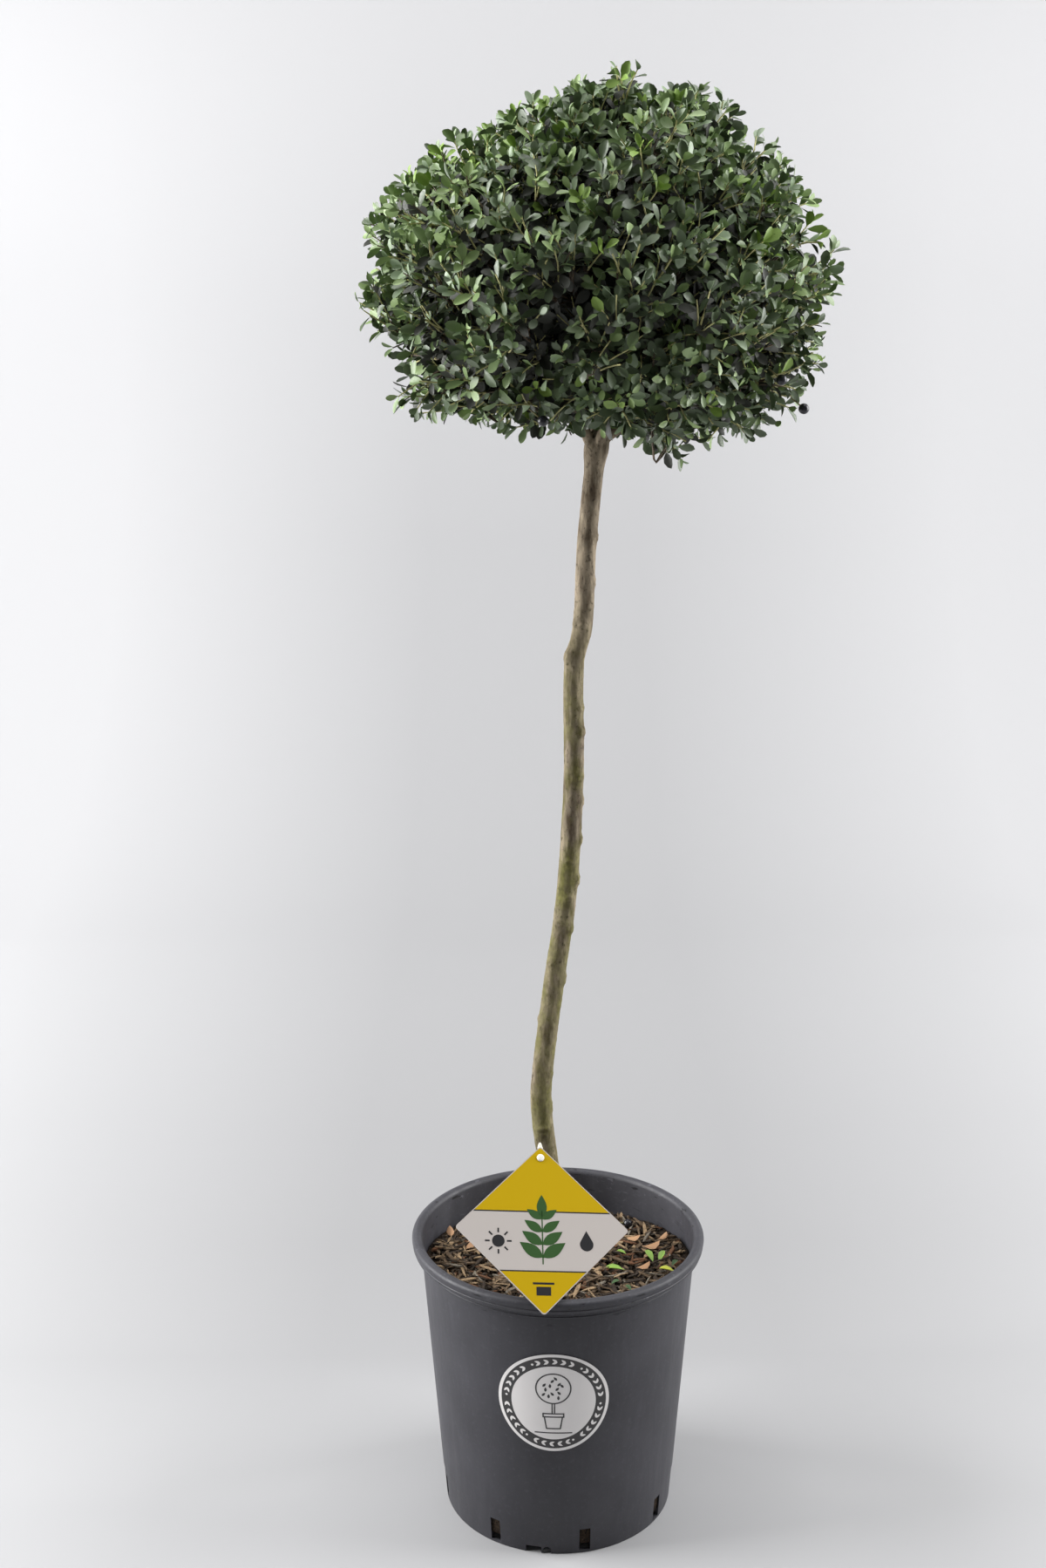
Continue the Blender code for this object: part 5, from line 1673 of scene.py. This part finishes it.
def make_card(settings):
    """The card: a thin plate with rounded corners, its print, and the hole for the pin's button."""
    right, up, facing = card_frame()
    half = CARD_SIDE / math.sqrt(2)
    middle = CARD_TOP_CORNER - up * half
    white = print_finish("card_white", tuple(settings.card_white))
    yellow = print_finish("card_yellow", tuple(settings.card_yellow))
    green = print_finish("card_green", (0.030, 0.075, 0.022))
    ink = print_finish("card_ink", (0.020, 0.020, 0.022))
    outline = card_outline(half, CARD_CORNER)
    rings = []
    for layer in (0.0, CARD_THICKNESS):
        rings.append([middle + right * x + up * y + facing * layer for x, y in outline])
    card = mesh_object("label_card_plate", *skinned(rings), [white])
    outward(card)
    hole = CARD_TOP_CORNER - up * HOLE_FROM_CORNER
    ends = (-PUNCH_REACH, PUNCH_REACH)
    cut(card, [[circle(hole + facing * reach, facing, HOLE_RADIUS, 24) for reach in ends]])
    soften(card, 30)
    seat(card, "card", "label_card")
    inside = [(x / MM, y / MM) for x, y in card_outline(half - CARD_MARGIN * MM, CARD_CORNER)]
    border = disc(0, (half - HOLE_FROM_CORNER) / MM, HOLE_RADIUS / MM + HOLE_BORDER, 24)
    fields = [clipped(inside, HIGH_LINE[1], BEYOND_CARD), clipped(inside, -BEYOND_CARD, LOW_LINE[0])]
    signs = [*sun_shapes(*CARD_SUN), drop_outline(*CARD_DROP), *(bar(*place) for place in CARD_BARS)]
    layers = [
        (yellow, fields),
        (ink, [clipped(inside, *HIGH_LINE), clipped(inside, *LOW_LINE)]),
        (green, sprig_shapes(*CARD_SPRIG)),
        (ink, signs),
        (white, [border]),
    ]

    def place(x, y, level):
        return middle + right * x + up * y + facing * (CARD_THICKNESS + INK_LIFT * (level + 1))

    seat(make_print("label_print", layers, place), "card")


def make_pin(settings):
    """The pin: a moulded strip that stands in the mulch, bends behind the card and buttons through it."""
    right, up, facing = card_frame()
    hole = CARD_TOP_CORNER - up * HOLE_FROM_CORNER
    behind = -facing * (GAP + PIN_THICKNESS / 2)
    point = hole + up * (HOLE_FROM_CORNER + PIN_TIP_OVER_CORNER) + behind
    shoulder = hole + up * HOLE_FROM_CORNER * 0.75 + behind
    bend = hole - up * PIN_BEND_UNDER_HOLE + behind
    straight = bend + PIN_KNEE
    foot = Vector((straight.x, straight.y, MIX_LEVEL - PIN_SUNK))
    across = Vector((right.x, right.y, 0.0)).normalized()
    forward = across.cross(UP)
    knee = (straight + bend) / 2 + forward * PIN_BULGE
    # Places from the foot up, each with the strip's wide and thin directions and its share of the width
    path = (
        (foot, across, forward, 1.0),
        (straight - UP * 0.01, across, forward, 1.0),
        (straight, across, (forward * 3 + facing).normalized(), 1.0),
        (knee, (across + right).normalized(), (forward + facing).normalized(), 1.0),
        (bend, right, (forward + 3 * facing).normalized(), 1.0),
        (bend + up * 0.006, right, facing, 1.0),
        (shoulder, right, facing, 1.0),
        (shoulder.lerp(point, 0.5), right, facing, 0.80),
        (shoulder.lerp(point, 0.85), right, facing, 0.52),
        (point, right, facing, 0.28),
    )
    rings = []
    for centre, wide, thick, share in path:
        ring = []
        for i in range(PIN_SIDES):
            angle = math.tau * (i + 0.5) / PIN_SIDES
            x = math.copysign(abs(math.cos(angle)) ** PIN_SQUARENESS, math.cos(angle))
            y = math.copysign(abs(math.sin(angle)) ** PIN_SQUARENESS, math.sin(angle))
            ring.append(centre + wide * x * PIN_WIDTH / 2 * share + thick * y * PIN_THICKNESS / 2)
        rings.append(ring)
    points, faces = skinned(rings)
    profile = [(r * BUTTON_RADIUS, z * BUTTON_THICKNESS) for r, z in BUTTON_PROFILE]
    dome, dome_faces = turned(profile, 28)
    turn = Matrix((right, up, facing)).transposed()
    button_at = hole + facing * (CARD_THICKNESS + GAP)
    start = len(points)
    points += [tuple(button_at + turn @ Vector(p)) for p in dome]
    faces += [tuple(start + corner for corner in face) for face in dome_faces]
    finish = plastic_finish("pin_plastic", tuple(settings.pin_colour))
    pin = mesh_object("label_pin_moulded", points, faces, [finish])
    soften(pin, 40)
    seat(pin, "pin_plastic", "label_pin")


# The sticker -----------------------------------------------------------------


def sticker_place(x, y, lift):
    """A point of the sticker on the pot's wall, for a place on its flat print."""
    height = STICKER_HEIGHT + y
    turn = STICKER_TURN + x / wall_radius(STICKER_HEIGHT)
    radius = wall_radius(height) + lift
    return Vector((radius * math.sin(turn), -radius * math.cos(turn), height))


def wreath_shapes():
    """Small leaves in pairs round a ring, with a dot between the sprays."""
    shapes = []
    for i in range(WREATH_STEPS):
        angle = 360 // WREATH_STEPS * i + 5
        x = WREATH_RADIUS * math.cos(math.radians(angle))
        y = WREATH_RADIUS * math.sin(math.radians(angle))
        if i % WREATH_GROUP == WREATH_GROUP - 1:
            shapes.append(disc(x, y, 1.3, 16))
            continue
        shapes += [leaf_outline(x, y, 6.2, 2.6, angle + 90 + lean) for lean in (28, -28)]
    return shapes


def potted_ball_shapes():
    """A clipped ball on a stem in a pot, in line, over a ground line."""
    shapes = hoops(0, BALL_LEVEL, BALL_INNER, BALL_OUTER)
    for i in range(BALL_LEAVES):
        angle = GOLDEN_TURN * i
        out = BALL_REACH * math.sqrt((i + 0.4) / BALL_LEAVES)
        x, y = out * math.cos(angle), BALL_LEVEL + out * math.sin(angle)
        shapes.append(leaf_outline(x, y - 2.4, 5.4, 2.7, 50 + 40 * (i % 3)))
    return shapes + [bar(*place) for place in PICTURE_BARS]


def make_sticker(settings):
    """The round sticker: its film, a dark ring with a wreath, and a plain picture in the middle."""
    white = print_finish("sticker_white", tuple(settings.sticker_white), 0.42, 0.35)
    dark = print_finish("sticker_dark", tuple(settings.sticker_dark), 0.45, 0.40)
    layers = [
        (white, [disc(0, 0, STICKER_RADIUS / MM, 96)]),
        (dark, hoops(0, 0, RING_INNER, RING_OUTER, 96)),
        (white, wreath_shapes()),
        (dark, potted_ball_shapes()),
    ]

    def place(x, y, level):
        return sticker_place(x, y, 2 * GAP + 0.6 * STICKER_THICKNESS + INK_LIFT * level)

    seat(make_print("sticker_print", layers, place, STICKER_STRIP), "sticker", "pot_sticker")


# The stage -------------------------------------------------------------------


def area_light(name, place, aim, width, height, power):
    """An oblong light that looks from its place at its aim."""
    data = bpy.data.lights.new(name, "AREA")
    data.shape = "RECTANGLE"
    data.size, data.size_y = width, height
    data.energy = power
    light = bpy.data.objects.new(name, data)
    light.location = place
    light.rotation_euler = (Vector(aim) - Vector(place)).to_track_quat("-Z", "Y").to_euler()
    bpy.context.scene.collection.objects.link(light)


def make_room(settings):
    """A pale floor that curves up into a backdrop, with painted light and shade graded along it."""
    profile = [(ROOM_FRONT, 0.0)]
    profile += arc(ROOM_BACK - ROOM_BEND, ROOM_BEND, ROOM_BEND, -90, 0, ROOM_BEND_STEPS)
    profile.append((ROOM_BACK, ROOM_TOP))
    points, faces = [], []
    for y, z in profile:
        points += [(-ROOM_SIDE, y, z), (ROOM_SIDE, y, z)]
    for low in range(0, 2 * len(profile) - 2, 2):
        faces.append((low, low + 1, low + 3, low + 2))
    tone = tuple(settings.backdrop_colour)
    paper = Finish("backdrop_paper", tone, 0.85, 0.2)
    # Painted light and shade: the paper's colour is graded along the floor and up the backdrop, darker on
    # the floor behind the pot, and from the middle out to the sides
    run = paper.spread(paper.maths("ADD", paper.along("Y"), paper.along("Z")), *PAPER_RUN)
    middle = paper.ramp(run, *((at, toned(tone, share)) for at, share in PAINTED_LIGHT_MIDDLE))
    sides = paper.ramp(run, *((at, toned(tone, share)) for at, share in PAINTED_LIGHT_SIDES))
    out = paper.spread(paper.maths("ABSOLUTE", paper.along("X"), 0.0), *PAPER_OUT)
    paper.set("Base Color", paper.mix(out, middle, sides))
    room = mesh_object("backdrop", points, faces, [paper.material])


def make_camera():
    """The camera: in front of the plant and over its pot, looking a little down."""
    data = bpy.data.cameras.new("camera")
    data.lens = CAMERA_LENS
    data.sensor_width = CAMERA_SENSOR
    camera = bpy.data.objects.new("camera", data)
    aim = Matrix.Rotation(math.pi / 2 - CAMERA_PITCH, 4, "X") @ Matrix.Rotation(CAMERA_ROLL, 4, "Z")
    camera.matrix_world = Matrix.Translation(CAMERA_PLACE) @ aim
    bpy.context.scene.collection.objects.link(camera)
    bpy.context.scene.camera = camera


def make_lights(settings):
    """The area lights, and a faint light from all sides."""
    for name, place, aim, width, height, share in LIGHTS:
        area_light(name, place, aim, width, height, share * settings.light_power)
    world = bpy.data.worlds.new("studio")
    world.use_nodes = True
    air = world.node_tree.nodes["Background"]
    air.inputs["Color"].default_value = (*AIR_COLOUR, 1.0)
    air.inputs["Strength"].default_value = settings.room_light
    bpy.context.scene.world = world
    bpy.context.scene.view_settings.view_transform = "Standard"


# Settings --------------------------------------------------------------------


def colour_setting(name, description, default):
    """A colour property with its name, description and default."""
    return FloatVectorProperty(
        name=name, description=description, default=default, size=3, min=0.0, max=1.0, subtype="COLOR"
    )


class CrownSettings(bpy.types.PropertyGroup):
    """Sizes and greens of the crown."""

    leaf_length: FloatProperty(
        name="Leaf length",
        description="Length of a grown leaf with its stalk",
        default=0.0178,
        unit="LENGTH",
    )
    leaf_width: FloatProperty(
        name="Leaf width", description="Greatest width of a grown leaf", default=0.0085, unit="LENGTH"
    )
    sprays: IntProperty(
        name="Sprays", description="Sprays on each branch", default=7, min=1, max=20
    )
    shoots: IntProperty(name="Shoots", description="Shoots in each spray", default=3, min=1, max=8)
    leaves_on_shoot: IntProperty(
        name="Leaves", description="Leaves on each shoot", default=10, min=1, max=30
    )
    tip_depth: FloatProperty(
        name="Tip depth",
        description="How far the shoots end under the crown's outline, for their leaves to reach it",
        default=0.008,
        unit="LENGTH",
    )
    sprouting: FloatProperty(
        name="Sprouting",
        description="Share of shoots with bright young leaves",
        default=0.07,
        subtype="FACTOR",
    )
    # The dark, middle, grey and light greens are dealt partly at random and partly by how a shoot faces, as
    # painted light and shade
    leaf_dark: colour_setting("Dark leaf", "Colour of old leaves", (0.079, 0.112, 0.056))
    leaf_middle: colour_setting("Middle leaf", "Colour of most grown leaves", (0.152, 0.222, 0.087))
    leaf_grey: colour_setting("Grey leaf", "Colour of leaves with a grey cast", (0.230, 0.305, 0.185))
    leaf_light: colour_setting("Light leaf", "Colour of this year's leaves", (0.228, 0.325, 0.118))
    leaf_young: colour_setting("Young leaf", "Colour of sprouting leaves", (0.200, 0.315, 0.054))
    # Painted shade: the shaded leaf's colour stands for the shade inside the crown and low on its shoots
    leaf_shaded: colour_setting("Shaded leaf", "Colour of leaves inside the crown", (0.036, 0.039, 0.030))
    twig_colour: colour_setting("Young twig", "Colour of this year's twigs", (0.62, 0.59, 0.27))


class StemSettings(bpy.types.PropertyGroup):
    """Colours of the bark."""

    bark_colour: colour_setting("Bark", "Light tone of the bark", (0.300, 0.245, 0.172))
    bark_dark: colour_setting("Bark, dark", "Dark tone of the bark", (0.085, 0.062, 0.040))
    algae_colour: colour_setting("Algae", "Green cast on the stem", (0.160, 0.156, 0.041))


class PotSettings(bpy.types.PropertyGroup):
    """Sizes and colours of the pot and of the mulch in it."""

    pot_colour: colour_setting("Pot", "Colour of the moulded plastic", (0.0430, 0.0425, 0.0495))
    foot_step: FloatProperty(
        name="Foot step",
        description="How far the foot stands back from the wall",
        default=0.0007,
        unit="LENGTH",
    )
    rim_taper: FloatProperty(
        name="Rim taper",
        description="How much the rim narrows towards its lower edge",
        default=0.0022,
        unit="LENGTH",
    )
    bead: FloatProperty(
        name="Bead", description="Radius of the bead under the rim", default=0.0012, unit="LENGTH"
    )
    chips: IntProperty(
        name="Chips", description="Number of bark chips", default=CHIPS, min=0, max=8000
    )
    chip_dark: colour_setting("Dark chips", "Colour of the dampest chips", (0.050, 0.036, 0.026))
    chip_brown: colour_setting("Brown chips", "Colour of most chips", (0.142, 0.097, 0.059))
    chip_tan: colour_setting("Tan chips", "Colour of the driest chips", (0.375, 0.262, 0.154))
    chip_red: colour_setting("Red chips", "Colour of reddish bark", (0.16, 0.075, 0.038))
    chip_grey: colour_setting("Grey chips", "Colour of weathered chips", (0.22, 0.19, 0.15))


class LabelSettings(bpy.types.PropertyGroup):
    """Colours of the label card, its pin and the sticker."""

    card_yellow: colour_setting("Card yellow", "Yellow of the card", (0.425, 0.282, 0.001))
    card_white: colour_setting("Card white", "White of the card", (0.415, 0.382, 0.362))
    pin_colour: colour_setting("Pin", "Colour of the pin", (0.80, 0.78, 0.70))
    sticker_white: colour_setting("Sticker white", "White of the sticker", (0.83, 0.805, 0.795))
    sticker_dark: colour_setting("Sticker dark", "Dark print of the sticker", (0.045, 0.043, 0.044))


class StageSettings(bpy.types.PropertyGroup):
    """Light and backdrop."""

    light_power: FloatProperty(
        name="Light", description="Power of the lights together", default=100.0, unit="POWER"
    )
    room_light: FloatProperty(name="Room light", description="Light from all sides", default=0.04)
    backdrop_colour: colour_setting("Backdrop", "Colour of the floor and backdrop", (0.486, 0.486, 0.4955))


# Operators -------------------------------------------------------------------


class TOPIARY_OT_pot(bpy.types.Operator):
    """Makes the pot with its rim, bead, drainage slots and notches"""

    bl_idname = "topiary.pot"
    bl_label = "Pot"

    def execute(self, context):
        make_pot(context.scene.topiary_pot)
        return {"FINISHED"}


class TOPIARY_OT_mulch(bpy.types.Operator):
    """Fills the pot with mix and covers it with bark chips and fallen leaves"""

    bl_idname = "topiary.mulch"
    bl_label = "Mix and mulch"

    def execute(self, context):
        make_potting_mix()
        make_mulch(context.scene.topiary_pot)
        make_fallen_leaves(context.scene.topiary_crown)
        return {"FINISHED"}


class TOPIARY_OT_stem(bpy.types.Operator):
    """Makes the trunk and the boughs as one skin of bark"""

    bl_idname = "topiary.stem"
    bl_label = "Trunk and boughs"

    def execute(self, context):
        make_trunk_and_boughs(context.scene.topiary_stem)
        return {"FINISHED"}


class TOPIARY_OT_crown(bpy.types.Operator):
    """Grows the twigs, the leaves and the berries"""

    bl_idname = "topiary.crown"
    bl_label = "Crown"

    def execute(self, context):
        settings = context.scene.topiary_crown
        growth = Growth(settings)
        make_twigs(growth, settings)
        make_leaves(growth, settings)
        make_berries(growth)
        return {"FINISHED"}


class TOPIARY_OT_label(bpy.types.Operator):
    """Makes the label card, its print and its pin"""

    bl_idname = "topiary.label"
    bl_label = "Label"

    def execute(self, context):
        make_card(context.scene.topiary_label)
        make_pin(context.scene.topiary_label)
        return {"FINISHED"}


class TOPIARY_OT_sticker(bpy.types.Operator):
    """Puts the round sticker on the pot"""

    bl_idname = "topiary.sticker"
    bl_label = "Sticker"

    def execute(self, context):
        make_sticker(context.scene.topiary_label)
        return {"FINISHED"}


class TOPIARY_OT_stage(bpy.types.Operator):
    """Sets up the floor, the backdrop, the lights and the camera"""

    bl_idname = "topiary.stage"
    bl_label = "Stage"

    def execute(self, context):
        make_room(context.scene.topiary_stage)
        make_lights(context.scene.topiary_stage)
        make_camera()
        return {"FINISHED"}


OPERATORS = (
    TOPIARY_OT_stage,
    TOPIARY_OT_pot,
    TOPIARY_OT_mulch,
    TOPIARY_OT_stem,
    TOPIARY_OT_crown,
    TOPIARY_OT_label,
    TOPIARY_OT_sticker,
)
SETTINGS = {
    "topiary_crown": CrownSettings,
    "topiary_stem": StemSettings,
    "topiary_pot": PotSettings,
    "topiary_label": LabelSettings,
    "topiary_stage": StageSettings,
}


class TOPIARY_PT_panel(bpy.types.Panel):
    """The settings and the operators of the topiary"""

    bl_idname = "TOPIARY_PT_panel"
    bl_label = "Topiary"
    bl_space_type = "VIEW_3D"
    bl_region_type = "UI"
    bl_category = "Topiary"

    def draw(self, context):
        for name, group in SETTINGS.items():
            box = self.layout.box()
            for field in group.__annotations__:
                box.prop(getattr(context.scene, name), field)
        for operator in OPERATORS:
            self.layout.operator(operator.bl_idname)


def register():
    """Adds the settings, the operators and the panel."""
    for group in SETTINGS.values():
        bpy.utils.register_class(group)
    for operator in OPERATORS:
        bpy.utils.register_class(operator)
    bpy.utils.register_class(TOPIARY_PT_panel)
    for name, group in SETTINGS.items():
        setattr(bpy.types.Scene, name, PointerProperty(type=group))


def unregister():
    """Takes them away again."""
    for name in SETTINGS:
        delattr(bpy.types.Scene, name)
    bpy.utils.unregister_class(TOPIARY_PT_panel)
    for kind in (*OPERATORS, *SETTINGS.values()):
        bpy.utils.unregister_class(kind)


def main():
    """Makes the whole scene, piece by piece."""
    register()
    for operator in OPERATORS:
        group, name = operator.bl_idname.split(".")
        getattr(getattr(bpy.ops, group), name)()


if __name__ == "__main__":
    main()
